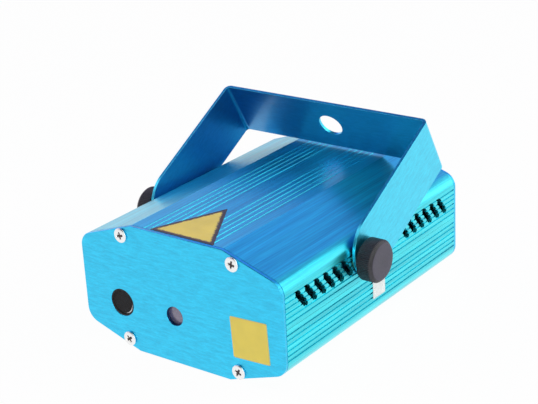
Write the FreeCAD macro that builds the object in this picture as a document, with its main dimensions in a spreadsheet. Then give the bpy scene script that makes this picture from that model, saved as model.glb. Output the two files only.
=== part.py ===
import FreeCAD, Part
import os
import re

import Sketcher

# Small laser show projector: an octagonal aluminium housing on a swivelling bracket.
# Frame: X to the right seen from the front, Y to the rear, Z up, millimetres.
# The origin is the middle of the housing's flat bottom.

# Driving sizes, each written once
SIZES = {
    # Housing, two like extrusions of which the lower is turned over
    "housing_width": 93.0,
    "housing_height": 51.0,
    "shell_length": 116.0,
    "shell_wall": 1.8,
    "chamfer_width": 25.3,
    "chamfer_height": 8.43,
    "corner_radius": 6.0,
    "seam_gap": 0.1,
    "tongue_height": 1.2,
    "tongue_thickness": 0.6,
    "tongue_clearance": 0.1,
    "top_groove_width": 0.5,
    "side_groove_width": 0.6,
    "side_groove_depth": 0.6,
    "side_groove_start": 2.1,
    "side_groove_pitch": 2.0,
    "top_groove_start": 5.05,
    "top_groove_pitch": 2.58,
    "vent_width": 2.7,
    "vent_length": 9.8,
    "vent_pitch": 5.72,
    "vent_slant": 50.0,
    "vent_end_inset": 9.65,
    "vent_rise": 8.35,
    "rail_inset": 10.5,
    "rail_thickness": 1.2,
    "rail_reach": 9.5,
    # End plates and their screws
    "plate_thickness": 1.5,
    "plate_gap": 0.02,
    "screw_side_inset": 20.8,
    "screw_inset": 2.8,
    "screw_radius": 1.5,
    "screw_length": 9.0,
    "screw_head_radius": 2.8,
    "screw_head_height": 0.95,
    "cross_width": 0.9,
    "cross_length": 3.6,
    "cross_depth": 0.65,
    "hole_clearance": 0.2,
    "channel_radius": 3.0,
    "channel_relief": 0.25,
    "seat_clearance": 0.03,
    "running_clearance": 0.05,
    "overrun": 1.0,
    # Bracket, its pivots and knobs
    "pivot_y": -10.6,
    "pivot_drop": 16.1,
    "strip_width": 25.0,
    "strip_thickness": 1.2,
    "bracket_reach": 59.3,
    "foot_offset": 6.8,
    "bend_radius": 2.6,
    "bracket_hole_radius": 5.25,
    "rest_gap": 0.6,
    "arm_gap": 0.1,
    "stud_radius": 2.5,
    "stud_depth": 6.0,
    "insert_radius": 3.5,
    "insert_length": 8.0,
    "insert_flange_radius": 5.0,
    "insert_flange": 0.5,
    "washer_radius": 6.2,
    "washer_thickness": 0.8,
    "washer_gap": 0.05,
    "knob_radius": 8.1,
    "knob_face_radius": 7.0,
    "knob_grip": 5.6,
    "knob_bevel": 1.2,
    "knurl_width": 0.9,
    "stud_engagement": 4.5,
    # Microphone in the front plate
    "mic_side_inset": 18.2,
    "mic_drop": 6.9,
    "mic_hole_radius": 5.4,
    "mic_radius": 4.85,
    "mic_length": 6.7,
    "mic_recess": 0.4,
    "mic_felt_radius": 3.9,
    "mic_felt_depth": 0.4,
    "grommet_radius": 7.0,
    "grommet_length": 5.5,
    "grommet_recess": 0.15,
    # Aperture, window and its holder
    "aperture_x": -2.9,
    "aperture_drop": 6.3,
    "aperture_radius": 3.7,
    "window_radius": 5.0,
    "window_thickness": 1.0,
    "holder_flange_radius": 8.0,
    "holder_flange": 1.5,
    "holder_radius": 6.6,
    "holder_length": 6.0,
    "holder_bore_radius": 4.0,
    "film_radius": 5.5,
    "film_thickness": 0.4,
    # Grating drive: gear pair, motor and the plate that carries them
    "optics_setback": 11.5,
    "optics_thickness": 2.0,
    "optics_half_width": 15.0,
    "optics_headroom": 4.3,
    "optics_foot_length": 8.0,
    "optics_foot": 3.0,
    "optics_screw_spread": 9.0,
    "gear_module": 0.6,
    "gear_width": 3.0,
    "gear_gap": 0.3,
    "gear_bore_radius": 4.5,
    "mesh_slack": 0.1,
    "journal_radius": 7.0,
    "retainer_seat_radius": 6.4,
    "retainer_radius": 8.6,
    "retainer_width": 1.0,
    "grating_radius": 6.0,
    "grating_thickness": 0.5,
    "grating_recess": 0.7,
    "motor_radius": 6.5,
    "motor_length": 20.0,
    "motor_boss_radius": 3.0,
    "motor_boss": 1.5,
    "motor_cap_radius": 4.0,
    "motor_cap": 2.0,
    "shaft_radius": 1.0,
    "shaft_engagement": 6.0,
    "shaft_nose": 0.4,
    "motor_screw_spread": 4.6,
    "motor_screw_radius": 1.0,
    "motor_screw_length": 4.5,
    "motor_screw_head_radius": 1.9,
    "motor_screw_head": 1.2,
    # Lasers, heat sink block and beam combiner
    "laser_spacing": 16.0,
    "laser_radius": 6.0,
    "laser_length": 35.0,
    "laser_nose_radius": 4.0,
    "laser_nose": 2.0,
    "laser_lens_radius": 2.6,
    "laser_lens_depth": 0.8,
    "block_setback": 38.0,
    "block_length": 32.0,
    "block_wall": 1.5,
    "laser_overhang": 1.0,
    "grub_length": 1.3,
    "combiner_setback": 24.5,
    "combiner_length": 11.0,
    "combiner_height": 11.2,
    "combiner_margin": 7.0,
    "mirror_length": 12.0,
    "mirror_thickness": 1.0,
    "mirror_height": 12.0,
    "mirror_seat": 1.5,
    "base_screw_length": 6.0,
    "base_screw_head_radius": 2.8,
    "base_screw_head": 1.4,
    "block_screw_spread": 8.0,
    # Circuit board in the rails, with its parts
    "board_length": 70.0,
    "board_thickness": 1.6,
    "board_setback": 12.0,
    "board_clearance": 0.1,
    "board_slack": 0.5,
    "chip_length": 10.0,
    "chip_width": 6.0,
    "chip_height": 1.8,
    "capacitor_radius": 3.2,
    "capacitor_height": 9.0,
    "connector_length": 8.0,
    "connector_width": 5.0,
    "connector_height": 6.0,
    # Fan behind the rear plate
    "fan_x": 18.0,
    "fan_margin": 10.5,
    "fan_depth": 8.0,
    "fan_rim": 1.0,
    "fan_hub_radius": 7.0,
    "fan_web": 1.0,
    "fan_spoke": 2.0,
    "fan_gap": 0.5,
    "fan_blade_thickness": 0.8,
    "fan_tip_gap": 0.7,
    "fan_pin_radius": 1.0,
    "fan_pin_length": 1.0,
    "fan_screw_inset": 3.0,
    "fan_screw_length": 7.0,
    "fan_screw_head_radius": 2.6,
    "grille_hole_radius": 1.6,
    "grille_ring_pitch": 4.4,
    # Power inlet
    "jack_side_inset": 16.5,
    "jack_width": 9.0,
    "jack_height": 11.0,
    "jack_depth": 12.0,
    "jack_nose_radius": 4.0,
    "jack_nose": 2.0,
    "jack_bore_radius": 2.75,
    "jack_bore_depth": 9.5,
    "jack_pin_radius": 1.0,
    # Mode switch
    "switch_side_inset": 16.5,
    "switch_width": 8.6,
    "switch_height": 14.0,
    "switch_depth": 11.0,
    "bezel_width": 10.6,
    "bezel_height": 16.0,
    "bezel_thickness": 1.5,
    "rocker_width": 6.8,
    "rocker_length": 11.2,
    "rocker_rise": 2.6,
    "rocker_dip": 1.2,
    "rocker_drop": 2.4,
    "rocker_gap": 0.35,
    "rocker_angle": 9.0,
    "rocker_pin_radius": 0.8,
    "rocker_pin_length": 0.8,
    "rocker_well": 3.6,
    # Speed control
    "pot_gap": 3.0,
    "pot_radius": 8.0,
    "pot_depth": 8.0,
    "bush_radius": 3.5,
    "bush_length": 4.2,
    "nut_radius": 5.6,
    "nut_thickness": 2.0,
    "spindle_radius": 3.0,
    "spindle_engagement": 5.0,
    "dial_radius": 6.5,
    "dial_length": 8.5,
    "dial_gap": 0.4,
    "dial_seat": 6.0,
    "dial_mark_width": 0.9,
    "dial_mark_depth": 0.5,
    # Stickers
    "sticker_thickness": 0.12,
    "front_sticker_inset": 15.1,
    "front_sticker_drop": 7.1,
    "front_sticker_width": 16.2,
    "front_sticker_height": 16.1,
    "front_sticker_turn": 2.6,
    "top_sticker_x": 1.8,
    "top_sticker_inset": 0.05,
    "top_sticker_width": 29.4,
    "top_sticker_depth": 29.2,
    "top_sticker_lean": 1.6,
    "side_sticker_y": 1.0,
    "side_sticker_width": 8.4,
    "side_sticker_drop": 6.3,
    "side_sticker_height": 14.2,
}

SIDE_GROOVES = 6
TOP_GROOVES = 5
VENTS_PER_GROUP = 6
KNURLS = 36
DIAL_KNURLS = 24
GEAR_TEETH = 40
PINION_TEETH = 12
FAN_BLADES = 7
FAN_SPOKES = 3
GRILLE_RINGS = 2
FIRST_RING_HOLES = 6
NUT_SIDES = 6
FULL_TURN = 360.0
DIAMOND_TURN = 45.0
FAN_BLADE_PITCH = 38.0

# Teeth, as shares of the module: addendum, dedendum, half widths at the tip and root
ADDENDUM_SHARE = 0.8
DEDENDUM_SHARE = 1.15
TIP_HALF_SHARE = 0.36
ROOT_HALF_SHARE = 0.92

# Gaps above the switch and below the inlet, as shares of the height left free between the screws
SWITCH_GAP_SHARE = 0.11
JACK_GAP_SHARE = 0.24

# Places on the board, as shares of its length and height from its front lower corner
CHIP_SHARES = [(0.30, 0.55), (0.58, 0.30)]
CAPACITOR_SHARES = [(0.20, 0.25), (0.75, 0.70), (0.88, 0.45)]
CONNECTOR_SHARES = [(0.12, 0.75), (0.42, 0.76), (0.74, 0.14), (0.86, 0.74)]

doc = FreeCAD.newDocument("LaserShowProjector")
sheet = doc.addObject("Spreadsheet::Sheet", "Sizes")
for row, (alias, number) in enumerate(SIZES.items(), start=1):
    sheet.set("A%d" % row, alias.replace("_", " "))
    sheet.set("B%d" % row, str(number))
    sheet.setAlias("B%d" % row, alias)
doc.recompute()

UPRIGHT = FreeCAD.Rotation()
ALONG_X = FreeCAD.Rotation(FreeCAD.Vector(0, 1, 0), 90)
ALONG_Y = FreeCAD.Rotation(FreeCAD.Vector(1, 0, 0), -90)
NODES = []


def in_sheet(formula):
    """Put the sheet's name before each of its sizes in a formula."""
    return re.sub(r"[a-z][a-z0-9_]*", lambda word: prefixed(word.group(0)), formula)


def prefixed(word):
    """The word as the sheet's cell, if it is one of the sizes."""
    return "Sizes." + word if word in SIZES else word


def bind(obj, prop, formula):
    """Tie a property to a formula of sizes."""
    obj.setExpression(prop, in_sheet(formula))


def place(obj, at, turn=UPRIGHT):
    """Put an object at three formulas, turned by a fixed rotation."""
    obj.Placement = FreeCAD.Placement(FreeCAD.Vector(), turn)
    for axis, formula in zip("xyz", at):
        bind(obj, "Placement.Base." + axis, formula)
    return obj


def box(name, size, at, turn=UPRIGHT):
    """Block of three sizes with its first corner at a point."""
    block = doc.addObject("Part::Box", name)
    for prop, formula in zip(("Length", "Width", "Height"), size):
        bind(block, prop, formula)
    return place(block, at, turn)


def rod(name, radius, length, at, turn=UPRIGHT):
    """Cylinder that starts at a point."""
    cylinder = doc.addObject("Part::Cylinder", name)
    bind(cylinder, "Radius", radius)
    bind(cylinder, "Height", length)
    return place(cylinder, at, turn)


def cone(name, radius, end_radius, length, at, turn=UPRIGHT):
    """Truncated cone that starts at a point."""
    taper = doc.addObject("Part::Cone", name)
    bind(taper, "Radius1", radius)
    bind(taper, "Radius2", end_radius)
    bind(taper, "Height", length)
    return place(taper, at, turn)


def cut(name, base, *tools):
    """Take each tool away in turn."""
    for index, tool in enumerate(tools):
        last = index == len(tools) - 1
        result = doc.addObject("Part::Cut", name if last else "%s_step%d" % (name, index))
        result.Base = base
        result.Tool = tool
        base = result
    return base


def fuse(name, *shapes):
    """Join shapes that meet into one solid."""
    result = doc.addObject("Part::MultiFuse", name)
    result.Shapes = list(shapes)
    result.Refine = True
    return result


def common(name, first, second):
    """Keep what two shapes share."""
    result = doc.addObject("Part::Common", name)
    result.Base = first
    result.Tool = second
    return result


def group(name, *shapes):
    """Hold separate solids together under one name."""
    result = doc.addObject("Part::Compound", name)
    result.Links = list(shapes)
    return result


def mirrored(name, source):
    """Copy a shape to the other side of the plane between left and right."""
    result = doc.addObject("Part::Mirroring", name)
    result.Source = source
    result.Normal = FreeCAD.Vector(1, 0, 0)
    return result


def node(obj, name):
    """Name a finished piece."""
    obj.Label = name
    NODES.append(obj)
    return obj


def attach(body, name, plane):
    """New sketch on one of the body's own planes."""
    sketch = body.newObject("Sketcher::SketchObject", name)
    support = next(item for item in body.Origin.OriginFeatures if item.Role == plane)
    sketch.AttachmentSupport = [(support, "")]
    sketch.MapMode = "FlatFace"
    return sketch


def draw(sketch, points):
    """Closed outline of straight lines, each corner held by two formulas."""
    count = len(points)
    corners = []
    for index in range(count):
        spoke = FreeCAD.Rotation(FreeCAD.Vector(0, 0, 1), FULL_TURN * index / count)
        corners.append(spoke.multVec(FreeCAD.Vector(count, 0, 0)))
    for index in range(count):
        sketch.addGeometry(Part.LineSegment(corners[index], corners[(index + 1) % count]), False)
    for index in range(count):
        ends = (index, 2, (index + 1) % count, 1)
        sketch.addConstraint(Sketcher.Constraint("Coincident", *ends))
    for index, formulas in enumerate(points):
        hold(sketch, index, formulas)


def hold(sketch, line, formulas):
    """Fix a line's first end by its distances from the sketch's origin."""
    for kind, axis, formula in (("DistanceX", -2, formulas[0]), ("DistanceY", -1, formulas[1])):
        if formula == "0":
            sketch.addConstraint(Sketcher.Constraint("PointOnObject", line, 1, axis))
        else:
            number = sketch.addConstraint(Sketcher.Constraint(kind, -1, 1, line, 1, 1.0))
            bind(sketch, "Constraints[%d]" % number, formula)


def pad(body, sketch, depth, reverse=False):
    """Give a sketch its depth and make that the body's shape."""
    feature = body.newObject("PartDesign::Pad", sketch.Name + "_pad")
    feature.Profile = sketch
    feature.Reversed = reverse
    bind(feature, "Length", depth)
    body.Tip = feature
    return feature


def prism(name, plane, points, depth, at=("0", "0", "0"), turn=UPRIGHT):
    """Body padded from a closed outline; on the XZ plane it runs towards +Y."""
    body = doc.addObject("PartDesign::Body", name)
    sketch = attach(body, name + "_outline", plane)
    draw(sketch, points)
    pad(body, sketch, depth, reverse=plane == "XZ_Plane")
    return place(body, at, turn)


def round_edges(body, radius, along, spots):
    """Round the body's straight edges along an axis that pass through the given spots."""
    doc.recompute()
    others = [axis for axis in "xyz" if axis != along]
    names = []
    for number, edge in enumerate(body.Tip.Shape.Edges, start=1):
        ends = [vertex.Point for vertex in edge.Vertexes]
        straight = all(abs(getattr(ends[0], a) - getattr(ends[-1], a)) < TOUCH for a in others)
        middle = [getattr(ends[0], a) for a in others]
        hit = any(max(abs(m - s) for m, s in zip(middle, spot)) < TOUCH for spot in spots)
        if straight and hit:
            names.append("Edge%d" % number)
    if len(names) != len(spots):
        raise RuntimeError("%s: %d edges of %d found" % (body.Name, len(names), len(spots)))
    unrounded = body.Tip
    fillet = body.newObject("PartDesign::Fillet", body.Name + "_round_" + radius.split()[0])
    fillet.Base = (unrounded, names)
    bind(fillet, "Radius", radius)
    body.Tip = fillet


# Two points closer than this are the same point
TOUCH = 1e-4

# Places that several pieces share
FLAT_HALF = "(housing_width / 2 - chamfer_width)"
SLOPE = "(chamfer_height / chamfer_width)"
SLOPE_LENGTH = "sqrt(1 + %s * %s)" % (SLOPE, SLOPE)
SHOULDER_Z = "(housing_height - chamfer_height)"
SEAM_Z = "(housing_height / 2)"
SIDE = "(housing_width / 2)"
SCREW_X = "(%s - screw_side_inset)" % SIDE
RAIL_X = "(%s - rail_inset)" % SIDE
SCREW_TOP_Z = "(housing_height - (%s - %s) * %s - screw_inset * %s)" % (
    SCREW_X, FLAT_HALF, SLOPE, SLOPE_LENGTH)
SCREW_LOW_Z = "(housing_height - %s)" % SCREW_TOP_Z
SHELL_FRONT = "(-shell_length / 2)"
SHELL_REAR = "(shell_length / 2)"
PLATE_BACK = "(%s - plate_gap)" % SHELL_FRONT
FRONT_FACE = "(%s - plate_thickness)" % PLATE_BACK
REAR_INSIDE = "(%s + plate_gap)" % SHELL_REAR
REAR_FACE = "(%s + plate_thickness)" % REAR_INSIDE
PIVOT_Z = "(housing_height - pivot_drop)"
MIC_X = "(mic_side_inset - %s)" % SIDE
MIC_Z = "(%s - mic_drop)" % SEAM_Z
APERTURE_Z = "(%s - aperture_drop)" % SEAM_Z
JACK_X = "(jack_side_inset - %s)" % SIDE
CONTROLS_LOW = "(%s + channel_radius)" % SCREW_LOW_Z
CONTROLS_HIGH = "(%s - channel_radius)" % SCREW_TOP_Z
CONTROLS_FREE = "(%s - %s - jack_height - (bezel_height + switch_height) / 2)" % (
    CONTROLS_HIGH, CONTROLS_LOW)
JACK_Z = "(%s + %s * %s + jack_height / 2)" % (CONTROLS_LOW, JACK_GAP_SHARE, CONTROLS_FREE)
SWITCH_X = "(switch_side_inset - %s)" % SIDE
SWITCH_Z = "(%s - %s * %s - bezel_height / 2)" % (CONTROLS_HIGH, SWITCH_GAP_SHARE, CONTROLS_FREE)
FAN_HALF = "(housing_height / 2 - fan_margin)"
POT_X = "(fan_x - %s - pot_gap - pot_radius)" % FAN_HALF
ARM_INSIDE = "(%s + insert_flange + arm_gap)" % SIDE
ARM_OUTSIDE = "(%s + strip_thickness)" % ARM_INSIDE
WASHER_X = "(%s + washer_gap)" % ARM_OUTSIDE
KNOB_X = "(%s + washer_thickness)" % WASHER_X


def chamfer_z(x):
    """Height of the upper chamfer's outer face at a distance from the middle."""
    return "(housing_height - (%s - %s) * %s)" % (x, FLAT_HALF, SLOPE)


def octagon(inset):
    """Upper half outline of the housing, moved in by an inset, from the seam up."""
    flat = "(%s - %s * (%s - 1) / %s)" % (FLAT_HALF, inset, SLOPE_LENGTH, SLOPE)
    side = "(%s - %s)" % (SIDE, inset)
    shoulder = "(%s - %s * (%s - %s))" % (SHOULDER_Z, inset, SLOPE_LENGTH, SLOPE)
    top = "(housing_height - %s)" % inset
    return flat, side, shoulder, top


def shell_block(name, inset, corner, low):
    """Solid half octagon from a low height up, with its side corners rounded."""
    flat, side, shoulder, top = octagon(inset)
    points = [("-" + side, low), (side, low), (side, shoulder), (flat, top), ("-" + flat, top),
              ("-" + side, shoulder)]
    block = prism(name, "XZ_Plane", points, "shell_length", ("0", SHELL_FRONT, "0"))
    doc.recompute()
    corners = block.Tip.Shape.Vertexes
    x = max(vertex.X for vertex in corners)
    z = max(vertex.Z for vertex in corners if abs(vertex.X - x) < TOUCH)
    round_edges(block, corner, "y", [(x, z), (-x, z)])
    return block


def groove(name, x, z):
    """Diamond bar along the housing, half of it above the surface, for a V groove."""
    side = "top_groove_width / sqrt(2)"
    start = ("%s - top_groove_width / 2" % x, "%s - overrun" % SHELL_FRONT, z)
    turn = FreeCAD.Rotation(FreeCAD.Vector(0, 1, 0), DIAMOND_TURN)
    return box(name, (side, "shell_length + 2 * overrun", side), start, turn)


def side_groove(name, x, z):
    """Bar along a side wall, half of it outside, for a square groove."""
    start = ("%s - side_groove_depth" % x, "%s - overrun" % SHELL_FRONT,
             "%s - side_groove_width / 2" % z)
    size = ("2 * side_groove_depth", "shell_length + 2 * overrun", "side_groove_width")
    return box(name, size, start)


def shell_grooves(name):
    """Two groups of V grooves on the flat top, and a group of square ones on each side wall."""
    bars = []
    for sign in ("", "-"):
        tag = name + ("_right" if sign == "" else "_left")
        for index in range(TOP_GROOVES):
            x = "%s(top_groove_start + %d * top_groove_pitch)" % (sign, index)
            bars.append(groove("%s_top%d" % (tag, index), x, "housing_height"))
        for index in range(SIDE_GROOVES):
            z = "%s + side_groove_start + %d * side_groove_pitch" % (SEAM_Z, index)
            bars.append(side_groove("%s_side%d" % (tag, index), sign + SIDE, z))
    return group(name, *bars)


def extrusion(name):
    """Upper half extrusion: wall, board rails, screw channels, tongue and slot."""
    low = "(%s + seam_gap / 2)" % SEAM_Z
    outer = shell_block(name + "_outer", "0", "corner_radius", low)
    inner = shell_block(name + "_inner", "shell_wall", "corner_radius - shell_wall",
                        "(%s - overrun)" % low)
    walls = cut(name + "_walls", outer, inner)
    pieces = [walls]
    slot = "(board_thickness + 2 * board_clearance)"
    for side, sign in (("right", "1"), ("left", "-1")):
        for rank, middle in (("inner", "(%s - (%s + rail_thickness) / 2)" % (RAIL_X, slot)),
                             ("outer", "(%s + (%s + rail_thickness) / 2)" % (RAIL_X, slot))):
            foot = "(housing_height - rail_reach)"
            rise = "(%s - shell_wall / 2 - %s)" % (chamfer_z(middle), foot)
            start = ("%s * %s - rail_thickness / 2" % (sign, middle), SHELL_FRONT, foot)
            pieces.append(box("%s_rail_%s_%s" % (name, side, rank),
                              ("rail_thickness", "shell_length", rise), start))
        pieces.append(rod("%s_channel_%s" % (name, side), "channel_radius - channel_relief", "shell_length",
                          ("%s * %s" % (sign, SCREW_X), SHELL_FRONT, SCREW_TOP_Z), ALONG_Y))
    tongue_x = "-%s + (shell_wall - tongue_thickness) / 2" % SIDE
    tongue_z = "%s - tongue_height" % low
    pieces.append(box(name + "_tongue", ("tongue_thickness", "shell_length", "tongue_height + shell_wall"),
                      (tongue_x, SHELL_FRONT, tongue_z)))
    blank = fuse(name + "_blank", *pieces)
    slot_x = "%s - (shell_wall + tongue_thickness) / 2 - tongue_clearance" % SIDE
    slot_size = ("tongue_thickness + 2 * tongue_clearance", "shell_length + 2 * overrun",
                 "tongue_height + tongue_clearance + overrun")
    slot_z = "%s - overrun" % low
    slot_bar = box(name + "_slot", slot_size, (slot_x, "%s - overrun" % SHELL_FRONT, slot_z))
    bores = []
    for side, sign in (("right", "1"), ("left", "-1")):
        start = ("%s * %s" % (sign, SCREW_X), "%s - overrun" % SHELL_FRONT, SCREW_TOP_Z)
        bores.append(rod("%s_bore_%s" % (name, side), "screw_radius + seat_clearance",
                         "shell_length + 2 * overrun", start, ALONG_Y))
    return cut(name, blank, slot_bar, group(name + "_bores", *bores), shell_grooves(name + "_grooves"))


def vent(name, y):
    """Slanted slot with round ends, through both side walls."""
    run = "(vent_length - vent_width)"
    through = "(housing_width + 2 * overrun)"
    middle = box(name + "_middle", (through, run, "vent_width"),
                 ("-%s / 2" % through, "-%s / 2" % run, "-vent_width / 2"))
    ends = [rod(name + tag, "vent_width / 2", through, ("-%s / 2" % through, end, "0"), ALONG_X)
            for tag, end in (("_front", "-%s / 2" % run), ("_rear", "%s / 2" % run))]
    slot = fuse(name, middle, *ends)
    place(slot, ("0", y, "%s + vent_rise" % SEAM_Z), FreeCAD.Rotation(FreeCAD.Vector(-1, 0, 0), 1))
    bind(slot, "Placement.Rotation.Angle", "vent_slant")
    return slot


def build_shells():
    """Upper shell with vents and pivot holes, and the lower shell with its base screw holes."""
    vents = []
    for index in range(VENTS_PER_GROUP):
        step = "%d * vent_pitch" % index
        vents.append(vent("vent_front%d" % index, "%s + vent_end_inset + %s" % (SHELL_FRONT, step)))
        vents.append(vent("vent_rear%d" % index, "%s - vent_end_inset - %s" % (SHELL_REAR, step)))
    pivots = rod("pivot_holes", "insert_radius + seat_clearance", "housing_width + 2 * overrun",
                 ("-%s - overrun" % SIDE, "pivot_y", PIVOT_Z), ALONG_X)
    node(cut("upper_shell", extrusion("upper_extrusion"), group("vents", *vents), pivots), "upper_shell")

    lower = extrusion("lower_extrusion")
    place(lower, ("0", "0", "housing_height"), FreeCAD.Rotation(FreeCAD.Vector(0, 1, 0), 180))
    sinks = []
    for index, (x, y) in enumerate(BASE_SCREWS):
        hole = rod("base_hole%d" % index, "screw_radius + hole_clearance", "shell_wall + 2 * overrun",
                   (x, y, "-overrun"))
        sink = cone("base_sink%d" % index, "base_screw_head_radius + hole_clearance",
                    "screw_radius + hole_clearance", "base_screw_head", (x, y, "0"))
        sinks.append(fuse("base_opening%d" % index, hole, sink))
    node(cut("lower_shell", lower, group("base_openings", *sinks)), "lower_shell")


def whole_octagon(inset):
    """Whole outline of the housing, moved in by an inset."""
    flat, side, shoulder, top = octagon(inset)
    low = "(housing_height - %s)" % shoulder
    return [(flat, top), ("-" + flat, top), ("-" + side, shoulder), ("-" + side, low), ("-" + flat, inset),
            (flat, inset), (side, low), (side, shoulder)]


def end_plate(name, back):
    """Octagonal plate with rounded side corners."""
    plate = prism(name + "_blank", "XZ_Plane", whole_octagon("0"), "plate_thickness", ("0", back, "0"))
    doc.recompute()
    corners = plate.Tip.Shape.Vertexes
    x = max(vertex.X for vertex in corners)
    heights = sorted({round(vertex.Z, 6) for vertex in corners if abs(vertex.X - x) < TOUCH})
    round_edges(plate, "corner_radius", "y", [(s * x, z) for s in (1, -1) for z in heights])
    return plate


def corner_spots():
    """The four places where an end plate is screwed on, as formulas."""
    return [(x, z) for x in (SCREW_X, "-" + SCREW_X) for z in (SCREW_TOP_Z, SCREW_LOW_Z)]


def fitted(name, solid):
    """Trim a solid that stands on the floor to the inside of the housing and its screw channels."""
    room = prism(name + "_room", "XZ_Plane", whole_octagon("shell_wall"), "shell_length",
                 ("0", SHELL_FRONT, "0"))
    channels = [rod("%s_channel%d" % (name, index), "channel_radius + hole_clearance", "shell_length",
                    (x, SHELL_FRONT, z), ALONG_Y) for index, (x, z) in enumerate(corner_spots())]
    return cut(name, common(name + "_inside", solid, room), group(name + "_channels", *channels))


def plate_hole(name, radius, x, z, back):
    """Round hole through an end plate."""
    return rod(name, radius, "plate_thickness + 2 * overrun", (x, "%s - overrun" % back, z), ALONG_Y)


def pan_screw(name, x, face, z, out, radius, length, head_radius, head):
    """Cross head screw through an end plate; out is -1 at the front and 1 at the rear."""
    reach = "%s + %s" % (length, head)
    start = "%s %s" % (face, "- %s" % head if out < 0 else "- %s" % length)
    shank = rod(name + "_shank", radius, reach, (x, start, z), ALONG_Y)
    head_start = "%s - %s" % (face, head) if out < 0 else face
    cap = rod(name + "_head", head_radius, head, (x, head_start, z), ALONG_Y)
    screw = fuse(name + "_blank", shank, cap)
    cross_y = "%s - %s - overrun" % (face, head) if out < 0 else "%s + %s - cross_depth" % (face, head)
    depth = "(cross_depth + overrun)"
    long_bar = box(name + "_bar", ("cross_length", depth, "cross_width"),
                   ("%s - cross_length / 2" % x, cross_y, "%s - cross_width / 2" % z))
    short_bar = box(name + "_cross", ("cross_width", depth, "cross_length"),
                    ("%s - cross_width / 2" % x, cross_y, "%s - cross_length / 2" % z))
    return cut(name, screw, fuse(name + "_recess", long_bar, short_bar))


def corner_screws(name, face, out):
    """Four cross head screws of one end plate."""
    screws = [pan_screw("%s%d" % (name, index), x, face, z, out, "screw_radius", "screw_length",
                        "screw_head_radius", "screw_head_height")
              for index, (x, z) in enumerate(corner_spots())]
    node(group(name, *screws), name)


def build_front():
    """Front plate, its screws, the microphone and the aperture window."""
    holes = [plate_hole("front_hole%d" % index, "screw_radius + hole_clearance", x, z, FRONT_FACE)
             for index, (x, z) in enumerate(corner_spots())]
    holes.append(plate_hole("mic_hole", "mic_hole_radius", MIC_X, MIC_Z, FRONT_FACE))
    holes.append(plate_hole("aperture_hole", "aperture_radius", "aperture_x", APERTURE_Z, FRONT_FACE))
    plate = end_plate("front_plate", FRONT_FACE)
    node(cut("front_plate", plate, group("front_holes", *holes)), "front_plate")
    corner_screws("front_screws", FRONT_FACE, -1)

    ring = rod("grommet_ring", "grommet_radius", "grommet_length", (MIC_X, PLATE_BACK, MIC_Z), ALONG_Y)
    mouth = "(%s + grommet_recess)" % FRONT_FACE
    neck = rod("grommet_neck", "mic_hole_radius - seat_clearance", "%s - %s" % (PLATE_BACK, mouth),
               (MIC_X, mouth, MIC_Z), ALONG_Y)
    bore = rod("grommet_bore", "mic_radius + seat_clearance",
               "grommet_length + plate_thickness + 2 * overrun",
               (MIC_X, "%s - overrun" % FRONT_FACE, MIC_Z), ALONG_Y)
    node(cut("microphone_grommet", fuse("grommet_blank", ring, neck), bore), "microphone_grommet")
    front = "%s + mic_recess" % FRONT_FACE
    can = rod("mic_can", "mic_radius", "mic_length", (MIC_X, front, MIC_Z), ALONG_Y)
    felt = rod("mic_felt", "mic_felt_radius", "mic_felt_depth + overrun",
               (MIC_X, "%s - overrun" % front, MIC_Z), ALONG_Y)
    node(cut("microphone", can, felt), "microphone")

    at = ("aperture_x", PLATE_BACK, APERTURE_Z)
    flange = rod("holder_flange_disc", "holder_flange_radius", "holder_flange", at, ALONG_Y)
    tube = rod("holder_tube", "holder_radius", "holder_length", at, ALONG_Y)
    through = rod("holder_bore", "holder_bore_radius", "holder_length + 2 * overrun",
                  ("aperture_x", "%s - overrun" % PLATE_BACK, APERTURE_Z), ALONG_Y)
    window_seat = rod("window_seat", "window_radius + seat_clearance", "window_thickness + overrun",
                      ("aperture_x", "%s - overrun" % PLATE_BACK, APERTURE_Z), ALONG_Y)
    film_seat = rod("film_seat", "film_radius + seat_clearance", "film_thickness + overrun",
                    ("aperture_x", "%s + holder_length - film_thickness" % PLATE_BACK, APERTURE_Z), ALONG_Y)
    node(cut("window_holder", fuse("holder_blank", flange, tube), through, window_seat, film_seat),
         "window_holder")
    node(rod("aperture_window", "window_radius", "window_thickness", at, ALONG_Y), "aperture_window")
    node(rod("fixed_grating", "film_radius", "film_thickness",
             ("aperture_x", "%s + holder_length - film_thickness" % PLATE_BACK, APERTURE_Z), ALONG_Y),
         "fixed_grating")


REST_TILT = ("acos((pivot_drop + rest_gap) / sqrt((bracket_reach - strip_thickness)^2 + (strip_width / 2)^2))"
             " - atan(strip_width / 2 / (bracket_reach - strip_thickness))")


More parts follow.
